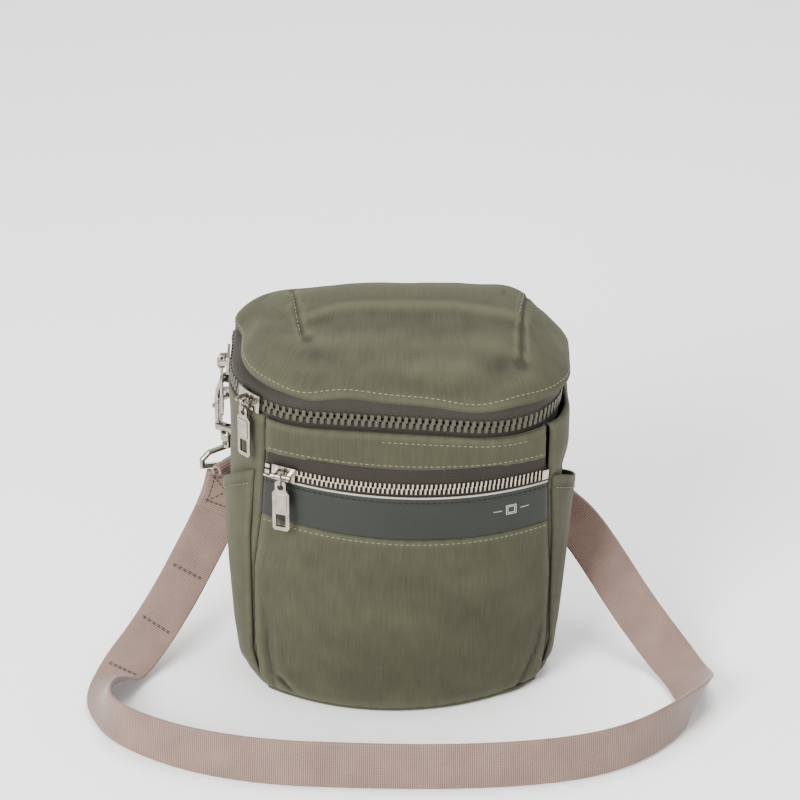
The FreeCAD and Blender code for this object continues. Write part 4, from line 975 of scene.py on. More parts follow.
# ------------------------------------------------------------------ operators
class PURSE_OT_strap(bpy.types.Operator):
    """Weaves the shoulder strap, its folded ends and the two ring tabs"""
    bl_idname = "purse.strap"
    bl_label = "Strap"

    def execute(self, context):
        sizes = context.scene.purse_strap
        width, thick = sizes.width / MM, sizes.thickness / MM
        centre = self.follow("strap_line", [Vector(p) for p, w in ROUTE])
        edge = self.follow("strap_edge", [Vector(p) + Vector(w).normalized() * 10.0 for p, w in ROUTE])
        across = [(b - a).normalized() for a, b in zip(centre, edge)]
        for p, w in zip(centre, across):
            p.z += max(0.0, 0.5 + abs(w.z) * width / 2.0 + 0.9 * math.hypot(w.x, w.y) - p.z)
        strap = webbing_ribbon("shoulder_strap", centre, across, width, thick, finish("strap_webbing"))
        settled(strap, "bag", "webbing", "strap_webbing")
        ends = []
        for name, place, order in (("left_strap_end", "left", 1), ("right_strap_end", "right", -1)):
            low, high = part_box(place + "_strap_fold")
            middle = (low + high) / (2 * MM)
            out, along = RINGS[place][1:]
            loop, sides = [], []
            for i in range(15):
                a = math.radians(-62.0 + 304.0 * i / 14.0)
                loop.append(middle + out * 2.5 * math.cos(a) + Vector((0, 0, 2.5 * math.sin(a))))
                sides.append(along)
            run, points, turns = 0.0, centre[::order], across[::order]
            for i in range(1, len(points)):
                tangent = points[i] - points[i - 1]
                run += tangent.length
                face = turns[i].cross(tangent).normalized()
                if run < 1.5:
                    continue
                face *= 1.0 if face.dot(out) < 0.0 else -1.0
                loop.append(points[i] + face * (thick + 0.06))
                sides.append(turns[i] if turns[i].dot(along) > 0.0 else -turns[i])
                if run > TAIL:
                    break
            ends.append(webbing_ribbon(name, loop, sides, width - 2.0, thick, finish("strap_webbing")))
            settled(ends[-1], "bag", "webbing", place + "_strap_fold")
        for place in ("left", "right"):
            pivot, out, along = RINGS[place]
            line = [pivot - out * 2.5 + Vector((0, 0, z)) for z in (-20.0, -14.0, -8.0, -3.0)]
            for i in range(17):
                a = math.radians(180.0 - 290.0 * i / 16.0)
                line.append(pivot + out * 2.45 * math.cos(a) + Vector((0, 0, 2.45 * math.sin(a))))
            sides = [along] * len(line)
            tab = webbing_ribbon(place + "_tab", line, sides, 18.0, 1.2, finish("cotton_webbing"))
            settled(tab, "bag", "tab_webbing", place + "_ring_tab")
        self.stitch(centre, across, thick)
        self.length(centre) * MM
        return {"FINISHED"}

    def follow(self, name, points):
        """Points along the smooth line that a set of route points gives."""
        data = bpy.data.curves.new(name, "CURVE")
        data.dimensions = "3D"
        data.resolution_u = 14
        spline = data.splines.new("NURBS")
        spline.points.add(len(points) - 1)
        for point, place in zip(spline.points, points):
            point.co = (*place, 1.0)
        spline.order_u = 3
        spline.use_endpoint_u = True
        obj = bpy.data.objects.new(name, data)
        context = bpy.context
        context.scene.collection.objects.link(obj)
        graph = context.evaluated_depsgraph_get()
        mesh = bpy.data.meshes.new_from_object(obj.evaluated_get(graph))
        line = [v.co.copy() for v in mesh.vertices]
        bpy.data.objects.remove(obj)
        bpy.data.meshes.remove(mesh)
        return line

    def length(self, line):
        return sum((b - a).length for a, b in zip(line[:-1], line[1:]))

    def stitch(self, centre, across, thick):
        """A boxed cross below the left hook, its pair on the right, and three bar tacks."""
        def at(distance):
            run = 0.0
            for i in range(1, len(centre)):
                step = (centre[i] - centre[i - 1]).length
                if run + step >= distance:
                    t = (distance - run) / step
                    tangent = (centre[i] - centre[i - 1]).normalized()
                    return centre[i - 1].lerp(centre[i], t), across[i - 1].lerp(across[i], t), tangent
                run += step
            return centre[-1], across[-1], (centre[-1] - centre[-2]).normalized()

        total = self.length(centre)

        def spot(distance, aside, face):
            p, w, tangent = at(distance)
            w = (w - tangent * w.dot(tangent)).normalized()
            normal = w.cross(tangent) * face
            on_left_tail = distance < TAIL and normal.y < 0.0
            on_right_tail = distance > total - TAIL and normal.dot(RINGS["right"][1]) < 0.0
            layers = 1.5 if on_left_tail or on_right_tail else 0.5
            return p + w * aside + normal * (thick * layers + 0.14)

        lines = []
        for start, step in ((4.0, 1.0), (total - 4.0, -1.0)):
            for face in (-1.0, 1.0):
                corner = [(0.0, -8.0), (17.0, -8.0), (17.0, 8.0), (0.0, 8.0), (0.0, -8.0), (17.0, 8.0)]
                for (a, b), (c, d) in zip(corner[:-1], corner[1:]):
                    lines.append([spot(start + step * (a + (c - a) * i / 8.0), b + (d - b) * i / 8.0, face)
                                  for i in range(9)])
                lines.append([spot(start + step * (17.0 - 17.0 * i / 8.0), -8.0 + 2.0 * i, face)
                              for i in range(9)])
        for distance in (62.0, 96.0, 128.0):
            for face in (-1.0, 1.0):
                for extra in (0.0, 0.9):
                    lines.append([spot(distance + extra, -7.5 + 15.0 * i / 8.0, face) for i in range(9)])
        sewing = {"Pitch": 0.0026, "Length": 0.0026, "Thickness": 0.0007, "Looseness": 0.12, "Start": 0.0}
        tree = repeat_tree("strap_stitches", sewing, thread_unit, finish("strap_thread"))
        made = run_tree(curve_of("strap_sewing", lines), tree, sewing, "strap_stitching")
        settled(made, "bag", "webbing")


def ring_place(x, y, degrees):
    """A ring's pivot, the way out from the bag there, and the way along its side."""
    a = math.radians(degrees)
    out = Vector((math.cos(a), math.sin(a), 0.0))
    return Vector((x, y, 158.0)), out, Vector((-out.y, out.x, 0.0))


RINGS = {"left": ring_place(-85.697, 35.575, 145.0), "right": ring_place(69.596, 47.93, 70.0)}


class PURSE_OT_body(bpy.types.Operator):
    """Sews the gussets, the back panel and the base"""
    bl_idname = "purse.body"
    bl_label = "Body"

    def execute(self, context):
        cloth = context.scene.purse_cloth
        canvas = finish("washed_canvas")
        down = [5.5 + 167.0 * v for v in steps(167.0, cloth.grid)]
        for side, name, column in ((-1.0, "left_gusset", 1), (1.0, "right_gusset", 2)):
            grid = []
            for drop in down:
                row = between(SHELL, drop)
                seam = abs(between(SEAMS, drop)[column])
                grid.append([level_point(*side_plan(row, side, seam, t), drop)
                             for t in steps(106.0, cloth.grid)])
            own = canvas_relief(11.0 + side, more=lambda p, s, t, a, b: self.covered(p, s))
            panel = sewn_panel(name + "_panel", grid, cloth.canvas, canvas, own, facing=-side)
            settled(panel, "bag", "canvas", name)
        grid = []
        for drop in down:
            half, front, rear, front_r, rear_r = between(SHELL, drop)[1:]
            line = []
            for u in steps(132.0, cloth.grid):
                x = -65.8 + 131.6 * u
                over = max(abs(x) - half + rear_r, 0.0)
                line.append(level_point(x, rear - rear_r + math.sqrt(rear_r ** 2 - over ** 2), drop))
            grid.append(line)
        back = sewn_panel("back_cloth", grid, cloth.canvas, canvas, canvas_relief(21.0, slow=1.0), facing=1.0)
        settled(back, "bag", "canvas", "back_panel")
        self.base(cloth, canvas)
        return {"FINISHED"}

    def covered(self, p, s):
        """Soft vertical folds above the slip pockets, and nothing proud under them."""
        if p.z < 120.0:
            return -0.25
        swell = 3.4 * ease((p.x - 70.0) / 14.0) * ease((p.z - 122.0) / 22.0)
        swell *= 1.0 - 0.95 * ease((p.z - 158.0) / 11.0)
        folds = 0.7 * hump(p.z, 150.0, 14.0) * math.sin(s / 8.5 + 0.6 * ripple(p, 20.0, 2.0))
        return swell + folds * clamp(s / 10.0, 0.0, 1.0)

    def base(self, cloth, canvas):
        """The bottom: a turned rim, then flat cloth to the middle."""
        def plan(drop, inset, share):
            half, front, rear, front_r, rear_r = between(SHELL, drop)[1:]
            xl, xr = between(SEAMS, drop)[1:]
            place = front_place([(172.0, -56.5, 0.0), (174.7, -54.6, 0.0)], 1.4)
            points = []
            for x, y in ring_plan(half - inset, front + inset, rear - inset,
                                  front_r - inset, rear_r - inset, 130):
                if y < 0.0 and xl < x < xr:
                    y = min(y, place((x - xl) / (xr - xl), drop).y + inset)
                points.append(Vector((4.0 + (x - 4.0) * share, -4.0 + (y + 4.0) * share, 0.0)))
            return points
        rim = ((3.6, 0.5), (2.4, 0.3), (1.4, 0.9), (0.7, 1.8), (0.25, 3.2), (0.1, 5.0))
        places = [(z, inset, 1.0) for z, inset in rim]
        places += [(0.1, 5.0, share) for share in (0.9, 0.7, 0.5, 0.3, 0.1, 0.01)]
        rows = [[Vector((p.x, p.y, z)) for p in plan(172.3, inset, share)] for z, inset, share in places]
        base = sewn_panel("base_cloth", rows, 1.2, canvas, wrap=True, cap="disc", facing=-1.0)
        for v in base.data.vertices:
            v.co.z = v.co.z if v.co.z > 0.0 else 1.3 * MM
        settled(base, "bag", "canvas", "base_panel")


class PURSE_OT_front(bpy.types.Operator):
    """Sews the front panels, the leather band with its cut edge and small mark, and the slip pockets"""
    bl_idname = "purse.front"
    bl_label = "Front"

    def execute(self, context):
        cloth = context.scene.purse_cloth
        canvas = finish("washed_canvas")
        for name, levels, high, low, seed, own, node in (
                ("upper_front", UPPER_LEVELS, 5.6, PANEL_EDGE, 31.0, None, "front_upper_panel"),
                ("pocket_front", POCKET_LEVELS, 63.8, 172.2, 33.0, pocket_own, "front_pocket_panel")):
            place = front_place(levels, 1.5)
            grid = [[place(u, high + (low - high) * v) for u in steps(148.0, cloth.grid)]
                    for v in steps(low - high, cloth.grid)]
            relief = canvas_relief(seed, slow=0.5, fast=0.18, more=own)
            panel = sewn_panel(name + "_cloth", grid, cloth.canvas, canvas, relief, facing=-1.0)
            settled(panel, "bag", "canvas", node)
        self.band(cloth)
        self.slip_pockets(cloth, canvas)
        return {"FINISHED"}

    def band(self, cloth):
        place = front_place(BAND_LEVELS, 1.6)
        grid = [[place(u, 40.3 + 23.2 * v) for u in steps(149.0, 2.0)] for v in steps(23.2, 1.6)]

        def relief(p, s, t, s_all, t_all):
            groove = -0.35 * hump(t, 2.6, 0.7)
            return turned_edge(min(s, s_all - s), 1.0, 2.0) + groove + 0.12 * ripple(p, 30.0, 4.0)
        band = sewn_panel("leather_strip", grid, cloth.canvas, finish("waxed_leather"), relief, facing=-1.0)
        settled(band, "bag", "leather", "leather_band")
        edge_place = front_place(BAND_LEVELS, 1.75)
        grid = [[edge_place(u, 39.55 + 0.75 * v) for u in steps(149.0, 2.0)]
                for v in (0.0, 0.25, 0.5, 0.75, 1.0)]
        edge = sewn_panel("cut_edge", grid, 1.1, finish("cut_leather_edge"), facing=-1.0)
        settled(edge, "bag", "leather")
        face = front_place(BAND_LEVELS, 1.68)

        mark_share, mark_drop, band_width = 0.868, 51.0, 148.0

        def spot(aside, down):
            """A place on the band, from the middle of its mark."""
            return face(mark_share + aside / band_width, mark_drop + down)
        turns = [math.radians(a) for a in range(45, 406, 90)]
        lines = [[spot(r * math.cos(a), r * math.sin(a)) for a in turns] for r in (3.6, 2.4)]
        lines += [[spot(aside * (5.0 + i), 0.0) for i in range(5)] for aside in (-1.0, 1.0)]
        mark = curve_of("band_mark_line", lines)
        sizes = {"Pitch": 0.0003, "Length": 0.00045, "Thickness": 0.00034, "Looseness": 0.0, "Start": 0.0}
        tree = repeat_tree("band_mark_print", sizes, thread_unit, finish("pale_print"))
        settled(run_tree(mark, tree, sizes, "band_mark"), "bag", "leather")

    def slip_pockets(self, cloth, canvas):
        for side, name, hem, push, seams in (
                (-1.0, "left_slip_pocket", LEFT_HEM, LEFT_PUSH, (73.0, 76.5)),
                (1.0, "right_slip_pocket", RIGHT_HEM, RIGHT_PUSH, (80.5, 82.0))):
            levels = [(hem, 0.42, push, seams[0]), (hem - 30.0, 0.30, push * 0.7, seams[1]),
                      (45.0, 0.12, push * 0.35, seams[1]), (24.0, 0.03, 0.6, seams[1]),
                      (12.0, 0.0, 0.4, seams[1] - 3.0)]
            table = [(-z, slope, out, seam) for z, slope, out, seam in levels]
            grid = []
            for v in steps(hem - 12.0, cloth.grid):
                z = hem - (hem - 12.0) * v
                slope, out, seam = between(table, -z)[1:]
                row = between(SHELL, ZIP_HEIGHT - z)
                line = []
                for t in steps(104.0, cloth.grid):
                    lift = 0.3 + cloth.canvas + out * math.sin(math.pi * t)
                    x, y = side_plan(row, side, seam, t, lift, 67.0)
                    rise = hem_rise(side, y) * ease((z - 60.0) / 50.0)
                    line.append(Vector((x, y, z - slope * y + rise)))
                grid.append(line)

            def own(p, s, t, s_all, t_all):
                fold = 0.2 * hump(t, 3.0, 1.4) - 0.3 * hump(t, 7.5, 0.8)
                drape = 0.8 * clamp(1.0 - t / 60.0, 0.0, 1.0) * ripple(Vector((s, 0.25 * t, 0.0)), 15.0, side)
                return fold + drape * clamp(min(s, s_all - s) / 12.0, 0.0, 1.0)
            relief = canvas_relief(41.0 + side, (1, 2, 0, 1), 0.35, 0.2, own)
            pocket = sewn_panel(name + "_cloth", grid, cloth.canvas - 0.2, canvas, relief, facing=-side)
            settled(pocket, "bag", "canvas", name)


class PURSE_OT_lid(bpy.types.Operator):
    """Shapes the darted lid, its lining and the sewn hinge at the back"""
    bl_idname = "purse.lid"
    bl_label = "Lid"

    def execute(self, context):
        cloth = context.scene.purse_cloth
        outer = self.dome(0.0, 150)
        relief = canvas_relief(51.0, (0, 0, 1, 0), 0.8, 0.22, lid_own)

        def eased_relief(p, s, t, s_all, t_all):
            return relief(p, 40.0, t, 80.0, max(t_all, t + 40.0))
        lid = sewn_panel("lid_cloth", outer, cloth.canvas, finish("washed_canvas"), eased_relief,
                         wrap=True, cap="seam")
        settled(lid, "lid", "canvas", "lid_panel")
        inner = self.dome(4.2, 70)
        lining = sewn_panel("lid_lining_cloth", inner, 0.5, finish("lining_taffeta"), wrap=True, cap="seam")
        settled(lining, "lid", "lining", "lid_lining")
        self.hinge()
        return {"FINISHED"}

    def dome(self, inset, count):
        """Rings up the dome, then closing across the top from front to rear."""
        rows = []
        spread = [0.0, 0.018, 0.04, 0.065, 0.1] + [0.14 + 0.86 * i / 34.0 for i in range(35)]
        last = len(LID) - 1
        table = [(i / last,) + row for i, row in enumerate(LID)]
        for v in spread:
            height, side, front, rear = eased(table, v)[1:]
            half = HALF_WIDTH + SKIN - side - inset
            near = FRONT_Y - SKIN + front + inset
            far = REAR_Y + SKIN - rear - inset
            depth = far - near
            front_r = min(FRONT_CORNER + SKIN - 0.3 * front, 0.45 * depth) - inset
            rear_r = min(REAR_CORNER + SKIN - 0.3 * rear, 0.45 * depth) - inset
            line = []
            for x, y in ring_plan(half, near, far, max(front_r, 2.0), max(rear_r, 2.0), count):
                p = lid_point(x, y, height - 0.85 * inset * clamp(2.0 * v, 0.0, 1.0))
                p.z += edge_wave(x, y) * clamp(1.0 - (height - LID_EDGE) / 9.0, 0.0, 1.0)
                p.x += lid_draw(x, y, height)
                p.z -= 5.0 * ease((-x - 12.0) / 48.0) * ease((height - 24.0) / 10.0)
                line.append(p)
            rows.append(line)
        rim = rows[-1]
        total = len(rim)
        for k in range(1, 9):
            line = []
            for i in range(total):
                pair = rim[(total - i) % total]
                middle = (rim[i] + pair) / 2.0
                t = k / 8.0
                p = rim[i].lerp(middle, t)
                p.z += 0.9 * (1.0 - (1.0 - t) ** 2) * clamp((pair - rim[i]).length / 12.0, 0.0, 1.0)
                line.append(p)
            rows.append(line)
        return rows

    def hinge(self):
        """The lid's strip, the bag's binding, and a flat strip of tape between them."""
        for name, low, high, body, node, seed in (
                ("hinge_strip_cloth", 0.9, LID_EDGE - 0.2, "lid", "lid_hinge_strip", 3.0),
                ("hinge_binding_cloth", -5.8, -0.9, "bag", "hinge_binding", 7.0)):
            points = self.back_run(SKIN)
            grid = [[zip_point(x, y, high + (low - high) * v) for x, y in points]
                    for v in steps(high - low, 1.0)]

            def relief(p, s, t, s_all, t_all):
                return turned_edge(min(t, t_all - t), 0.5, 1.4) + 0.08 * ripple(p, 12.0, seed)
            piece = sewn_panel(name, grid, 1.3, finish("zip_tape"), relief, facing=1.0)
            settled(piece, body, "tape", node)
        grid = [[zip_point(-54.0 + 108.0 * i / 60.0, REAR_Y + 0.5, 4.0 - 8.0 * v / 10.0) for i in range(61)]
                for v in range(11)]
        cloth_hinge = sewn_panel("hinge_fold", grid, 0.5, finish("zip_tape"), facing=1.0)
        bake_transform(cloth_hinge)

    def back_run(self, offset):
        """Plan points round the back, from the right end of the zip to its left end."""
        half = HALF_WIDTH + offset
        rear = REAR_Y + offset
        radius = REAR_CORNER + offset
        points = [(half, ZIP_END_Y + 1.2)] if ZIP_END_Y + 1.2 < rear - radius else []
        start = math.asin(clamp((ZIP_END_Y + 1.2 - rear + radius) / radius, 0.0, 1.0))
        for i in range(19):
            a = start + (math.pi / 2 - start) * i / 18.0
            points.append((half - radius + radius * math.cos(a), rear - radius + radius * math.sin(a)))
        span = half - radius
        points += [(span - 2 * span * i / 40.0, rear) for i in range(1, 40)]
        return points + [(-x, y) for x, y in reversed(points[:20 if len(points) > 58 else 19])]


class PURSE_OT_main_zip(bpy.types.Operator):
    """Knits the main zip's tapes and moulds its interlocking teeth"""
    bl_idname = "purse.main_zip"
    bl_label = "Main zip"

    def execute(self, context):
        zips = context.scene.purse_zips
        count = 200
        for name, low, high, body, node in (
                ("main_upper_tape", 1.6, LID_EDGE + 0.6, "lid", "main_tape_upper"),
                ("main_lower_tape", -11.0, -1.6, "bag", "main_tape_lower")):
            grid = []
            for v in steps(high - low, 1.2):
                height = high + (low - high) * v
                line = []
                for i in range(count + 1):
                    x, y = zip_plan(ZIP_LENGTH * i / count, 0.35)
                    lean = lid_draw(x, y, height) if height > 0.0 else 0.0
                    line.append(zip_point(x, y, height) + Vector((lean, 0.0, 0.0)))
                grid.append(line)
            tape = sewn_panel(name, grid, 0.6, finish("zip_tape"),
                              lambda p, s, t, a, b: 0.10 * ripple(p, 9.0, 1.0), facing=-1.0)
            settled(tape, body, "tape", node)
        sizes = {"Pitch": zips.main_pitch, "Start": 0.0, "Width": 0.00205, "Depth": 0.0030, "Length": 0.0039,
                 "Head Side": 0.36, "Looseness": 0.0}
        tree = repeat_tree("moulded_teeth", sizes, tooth_unit, finish("moulded_acetal"))
        for name, height, start, head, body, node in (
                ("upper_teeth", 1.75, 0.0, -0.36, "lid", "main_teeth_upper"),
                ("lower_teeth", -1.75, zips.main_pitch / 2, 0.36, "bag", "main_teeth_lower")):
            line = [zip_point(*zip_plan(0.8 + (ZIP_LENGTH - 1.6) * i / 600.0), height) for i in range(601)]
            values = dict(sizes, **{"Start": start, "Head Side": head})
            teeth = run_tree(curve_of(name + "_line", [line]), tree, values, name, 0.35)
            settled(teeth, body, "moulded_teeth", node)
        dress("main_zip_end_stops", "moulded_acetal")
        return {"FINISHED"}


class PURSE_OT_pocket_zip(bpy.types.Operator):
    """Knits the pocket zip's tapes and stamps its metal teeth"""
    bl_idname = "purse.pocket_zip"
    bl_label = "Pocket zip"

    def execute(self, context):
        zips = context.scene.purse_zips
        for name, low, high, node in (
                ("pocket_upper_tape", 0.5, POCKET_DROP - PANEL_EDGE + 2.5, "pocket_tape_upper"),
                ("pocket_lower_tape", POCKET_DROP - BAND_TOP - 1.5, -0.5, "pocket_tape_lower")):
            grid = []
            for v in steps(high - low, 1.2):
                up = high + (low - high) * v
                out = 0.3 - 0.35 * clamp(abs(up) / 8.0, 0.0, 1.0)
                grid.append([pocket_zip_point(-67.0 + 144.0 * i / 120.0, out, up) for i in range(121)])
            # dark brown tape, darkened further as painted shade under the upper panel's edge
            tape = sewn_panel(name, grid, 0.6, finish("dark_zip_tape"),
                              lambda p, s, t, a, b: 0.08 * ripple(p, 9.0, 2.0), facing=-1.0)
            settled(tape, "bag", "pocket_tape", node)
        sizes = {"Pitch": zips.pocket_pitch, "Start": 0.0, "Width": 0.00088, "Depth": 0.0024,
                 "Length": 0.0031, "Head Side": 0.36, "Looseness": 0.0}
        tree = repeat_tree("stamped_teeth", sizes, tooth_unit, finish("stamped_nickel"))
        for name, up, start, head, node in (
                ("pocket_upper_teeth", 1.45, 0.0, -0.36, "pocket_teeth_upper"),
                ("pocket_lower_teeth", -1.45, zips.pocket_pitch / 2, 0.36, "pocket_teeth_lower")):
            line = [pocket_zip_point(-60.0 + 134.6 * i / 400.0, 0.1, up) for i in range(401)]
            values = dict(sizes, **{"Start": start, "Head Side": head})
            teeth = run_tree(curve_of(name + "_line", [line]), tree, values, name)
            settled(teeth, "bag", "metal_teeth", node)
        dress("pocket_zip_stops", "stamped_nickel")
        return {"FINISHED"}


class PURSE_OT_inside(bpy.types.Operator):
    """Hangs the lining, the compartment's front wall and the card pocket"""
    bl_idname = "purse.inside"
    bl_label = "Inside"

    def execute(self, context):
        taffeta = finish("lining_taffeta")
        rows = []
        for v in [i / 40.0 for i in range(41)]:
            drop = 7.5 + 162.0 * v
            half, front, rear, front_r, rear_r = between(LINING, drop)[1:]
            outline = ring_plan(half, front, rear, front_r, rear_r, 90)
            rows.append([level_point(x, y, drop) for x, y in outline])
        floor = rows[-1]
        for share in (0.96, 0.8, 0.6, 0.4, 0.2, 0.01):
            rows.append([Vector((p.x * share, p.y * share, 5.3)) for p in floor])

        def hang(p, s, t, s_all, t_all):
            return -0.35 + 0.35 * ripple(p, 24.0, 8.0)
        lining = sewn_panel("hanging_lining", rows, 0.5, taffeta, hang, wrap=True, cap="disc", facing=-1.0)
        settled(lining, "bag", "lining", "main_lining")
        place = front_place(WALL_LEVELS, -1.2, 1.0)
        grid = [[place(u, 7.0 + 163.1 * v) for u in steps(148.0, 4.0)] for v in steps(163.0, 4.0)]
        wall = sewn_panel("compartment_wall", grid, 1.2, finish("washed_canvas"), facing=-1.0)
        settled(wall, "bag", "canvas", "compartment_front_wall")
        grid = [[Vector((-52.0 + 104.0 * i / 40.0, 39.3, 140.0 - 70.0 * j / 24.0)) for i in range(41)]
                for j in range(25)]

        def card(p, s, t, s_all, t_all):
            return turned_edge(min(s, s_all - s, t_all - t), 0.4, 3.0) + 0.25 * hump(t, 2.0, 1.2)
        pocket = sewn_panel("card_pocket", grid, 0.6, taffeta, card, facing=-1.0)
        settled(pocket, "bag", "lining", "inner_slip_pocket")
        dress("base_stiffener", "fibre_board")
        return {"FINISHED"}


class PURSE_OT_stitching(bpy.types.Operator):
    """Runs the topstitching along every seam that shows"""
    bl_idname = "purse.stitching"
    bl_label = "Topstitching"

    def execute(self, context):
        pitch = context.scene.purse_zips.stitch_pitch
        sizes = {"Pitch": pitch, "Length": 0.00225, "Thickness": 0.00052, "Looseness": 0.1, "Start": 0.0}
        upper = front_place(UPPER_LEVELS, 1.72)
        pocket = front_place(POCKET_LEVELS, 1.72)
        band = front_place(BAND_LEVELS, 1.66)
        light = [
            [upper(0.42 + 0.50 * i / 80.0, 10.6) for i in range(81)],
            [upper(0.02 + 0.96 * i / 140.0, 22.6) for i in range(141)],
            [pocket(0.015 + 0.97 * i / 140.0, 66.8) for i in range(141)],
        ]
        dark = [[band(0.012 + 0.976 * i / 140.0, 42.9) for i in range(141)]]
        for side, hem, push, seam in ((-1.0, LEFT_HEM, LEFT_PUSH, 73.6), (1.0, RIGHT_HEM, RIGHT_PUSH, 80.8)):
            z = hem - 7.2
            row = between(SHELL, ZIP_HEIGHT - z)
            line = []
            for i in range(61):
                t = 0.04 + 0.92 * i / 60.0
                x, y = side_plan(row, side, seam, t, 1.75 + push * math.sin(math.pi * t), 67.0)
                line.append(Vector((x, y, z - 0.41 * y + hem_rise(side, y))))
            light.append(line)
        light_tree = repeat_tree("light_stitches", sizes, thread_unit, finish("light_thread"))
        sewn = run_tree(curve_of("light_sewing", light), light_tree, sizes, "light_topstitching")
        settled(sewn, "bag", "canvas")
        dark_tree = repeat_tree("dark_stitches", sizes, thread_unit, finish("dark_thread"))
        sewn = run_tree(curve_of("dark_sewing", dark), dark_tree, sizes, "band_stitching")
        settled(sewn, "bag", "leather")
        lid_lines = [self.on_lid(3.4)]
        for line in (((-56.0, 38.0), (-52.6, 9.0), (-50.2, -6.0)), ((68.0, 30.0), (64.4, 5.0))):
            lid_lines.append(self.on_top(line))
        sewn = run_tree(curve_of("lid_sewing", lid_lines), light_tree, sizes, "lid_topstitching")
        settled(sewn, "lid", "canvas")
        return {"FINISHED"}

    def drop_on(self, name, points, direction):
        """Points moved on to a cloth's face along a direction, lifted by half a thread."""
        cloth = bpy.data.objects[name]
        found = []
        for p in points:
            hit, place, _, _ = cloth.ray_cast((p - direction * 60.0) * MM, direction, distance=0.12)
            if hit:
                found.append(place / MM - direction * 0.12)
        return found

    def on_lid(self, up):
        """The lid's seam stitching, a few millimetres above its edge, round the front and both sides."""
        line = []
        for i in range(361):
            along = 6.0 + (ZIP_LENGTH - 12.0) * i / 360.0
            x, y = zip_plan(along)
            height = LID_EDGE + up + edge_wave(x, y)
            out = Vector(zip_plan(along, 1.0)) - Vector((x, y))
            place = lid_point(x, y, height)
            line += self.drop_on("lid_cloth", [place], Vector((-out.x, -out.y, 0.0)))
        return line

    def on_top(self, line):
        """Stitching on the lid's top, below a line in plan."""
        points = []
        for (a, b), (c, d) in zip(line[:-1], line[1:]):
            points += [Vector((a + (c - a) * i / 10.0, b + (d - b) * i / 10.0, 210.0)) for i in range(10)]
        return self.drop_on("lid_cloth", points, Vector((0.0, 0.0, -1.0)))


def dress(node, name):
    """Gives a hard part that stays as it is its finish."""
    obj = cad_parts[node]
    obj.data.materials.clear()
    obj.data.materials.append(finish(name))
    return obj


class PURSE_OT_hardware(bpy.types.Operator):
    """Plates the sliders, pullers, rings, hooks and swivels"""
    bl_idname = "purse.hardware"
    bl_label = "Hardware"

    def execute(self, context):
        on_zips = ("slider_body", "pull_link", "puller")
        on_sides = ("d_ring", "snap_hook", "hook_gate", "swivel_eye")
        nodes = [place + "_" + piece for place in ("front", "rear", "pocket") for piece in on_zips]
        nodes += [side + "_" + piece for side in ("left", "right") for piece in on_sides]
        for node in nodes:
            dress(node, "nickel_plate")
        return {"FINISHED"}


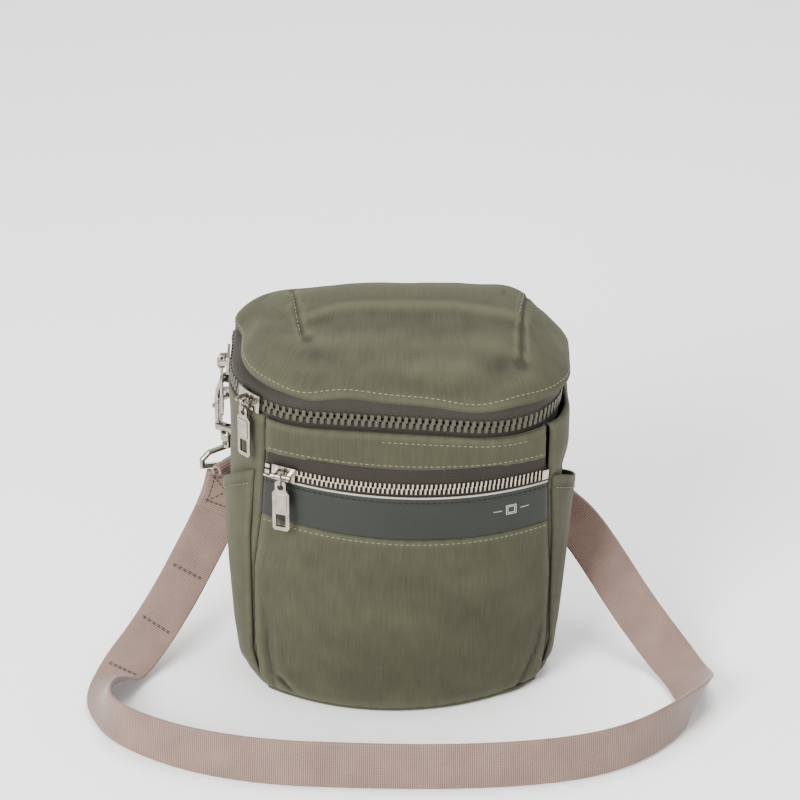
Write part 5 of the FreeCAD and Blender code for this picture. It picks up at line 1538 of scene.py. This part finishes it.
class PURSE_OT_stage(bpy.types.Operator):
    """Lays the pale floor and hangs the soft lights and the camera"""
    bl_idname = "purse.stage"
    bl_label = "Stage"

    def execute(self, context):
        scene = context.scene
        bm = bmesh.new()
        bmesh.ops.create_grid(bm, x_segments=2, y_segments=2, size=12.0)
        mesh = bpy.data.meshes.new("floor")
        bm.to_mesh(mesh)
        bm.free()
        floor = bpy.data.objects.new("floor", mesh)
        floor.location.z = -0.0003
        scene.collection.objects.link(floor)
        mesh.materials.append(finish("studio_floor"))
        world = bpy.data.worlds.new("studio")
        world.use_nodes = True
        back = world.node_tree.nodes["Background"]
        back.inputs["Color"].default_value = (1.0, 1.0, 1.0, 1.0)
        back.inputs["Strength"].default_value = 1.0
        scene.world = world
        for name, place, aim, size, power in (
                ("key", (-1.0, -1.5, 1.1), (0.0, 0.0, 0.1), 0.9, 84.0),
                ("top", (0.15, 0.45, 1.6), (0.0, 0.0, 0.15), 1.1, 30.0),
                ("fill", (1.3, -1.2, 0.6), (0.0, 0.0, 0.1), 1.4, 6.0)):
            light = bpy.data.lights.new(name, "AREA")
            light.size = size
            light.energy = power
            lamp = bpy.data.objects.new(name, light)
            lamp.location = place
            lamp.rotation_euler = (Vector(aim) - Vector(place)).to_track_quat("-Z", "Y").to_euler()
            scene.collection.objects.link(lamp)
        lens = bpy.data.cameras.new("view")
        lens.lens = 162.0
        lens.sensor_width = 36.0
        lens.dof.use_dof = False
        camera = bpy.data.objects.new("view", lens)
        distance, rise = 1.9, math.radians(27.0)
        target = Vector((0.002, 0.0, 0.159))
        camera.location = target + Vector((0.0, -math.cos(rise), math.sin(rise))) * distance
        camera.rotation_euler = (target - camera.location).to_track_quat("-Z", "Y").to_euler()
        scene.collection.objects.link(camera)
        scene.camera = camera
        return {"FINISHED"}


class PURSE_PT_panel(bpy.types.Panel):
    bl_label = "Purse"
    bl_idname = "PURSE_PT_panel"
    bl_space_type = "VIEW_3D"
    bl_region_type = "UI"
    bl_category = "Purse"

    def draw(self, context):
        for group, names in GROUPS:
            for name in names:
                self.layout.prop(getattr(context.scene, group), name)
        for operator in OPERATORS:
            self.layout.operator(operator.bl_idname)


GROUPS = (
    ("purse_cloth", ("grid", "creases", "canvas")),
    ("purse_zips", ("main_pitch", "pocket_pitch", "stitch_pitch")),
    ("purse_strap", ("width", "thickness")),
    ("purse_finishes", ("canvas_dark", "canvas_light", "leather", "strap_dark", "strap_light")),
)
OPERATORS = (PURSE_OT_stage, PURSE_OT_strap, PURSE_OT_body, PURSE_OT_front, PURSE_OT_lid, PURSE_OT_main_zip,
             PURSE_OT_pocket_zip, PURSE_OT_inside, PURSE_OT_stitching, PURSE_OT_hardware)
CLASSES = (PurseCloth, PurseZips, PurseStrap, PurseFinishes) + OPERATORS + (PURSE_PT_panel,)


def register():
    for cls in CLASSES:
        bpy.utils.register_class(cls)
    bpy.types.Scene.purse_cloth = bpy.props.PointerProperty(type=PurseCloth)
    bpy.types.Scene.purse_zips = bpy.props.PointerProperty(type=PurseZips)
    bpy.types.Scene.purse_strap = bpy.props.PointerProperty(type=PurseStrap)
    bpy.types.Scene.purse_finishes = bpy.props.PointerProperty(type=PurseFinishes)


def unregister():
    for name in ("purse_finishes", "purse_strap", "purse_zips", "purse_cloth"):
        delattr(bpy.types.Scene, name)
    for cls in reversed(CLASSES):
        bpy.utils.unregister_class(cls)


def main():
    register()
    for operator in OPERATORS:
        group, name = operator.bl_idname.split(".")
        getattr(getattr(bpy.ops, group), name)()
    bpy.context.view_layer.update()


if __name__ == "__main__":
    main()
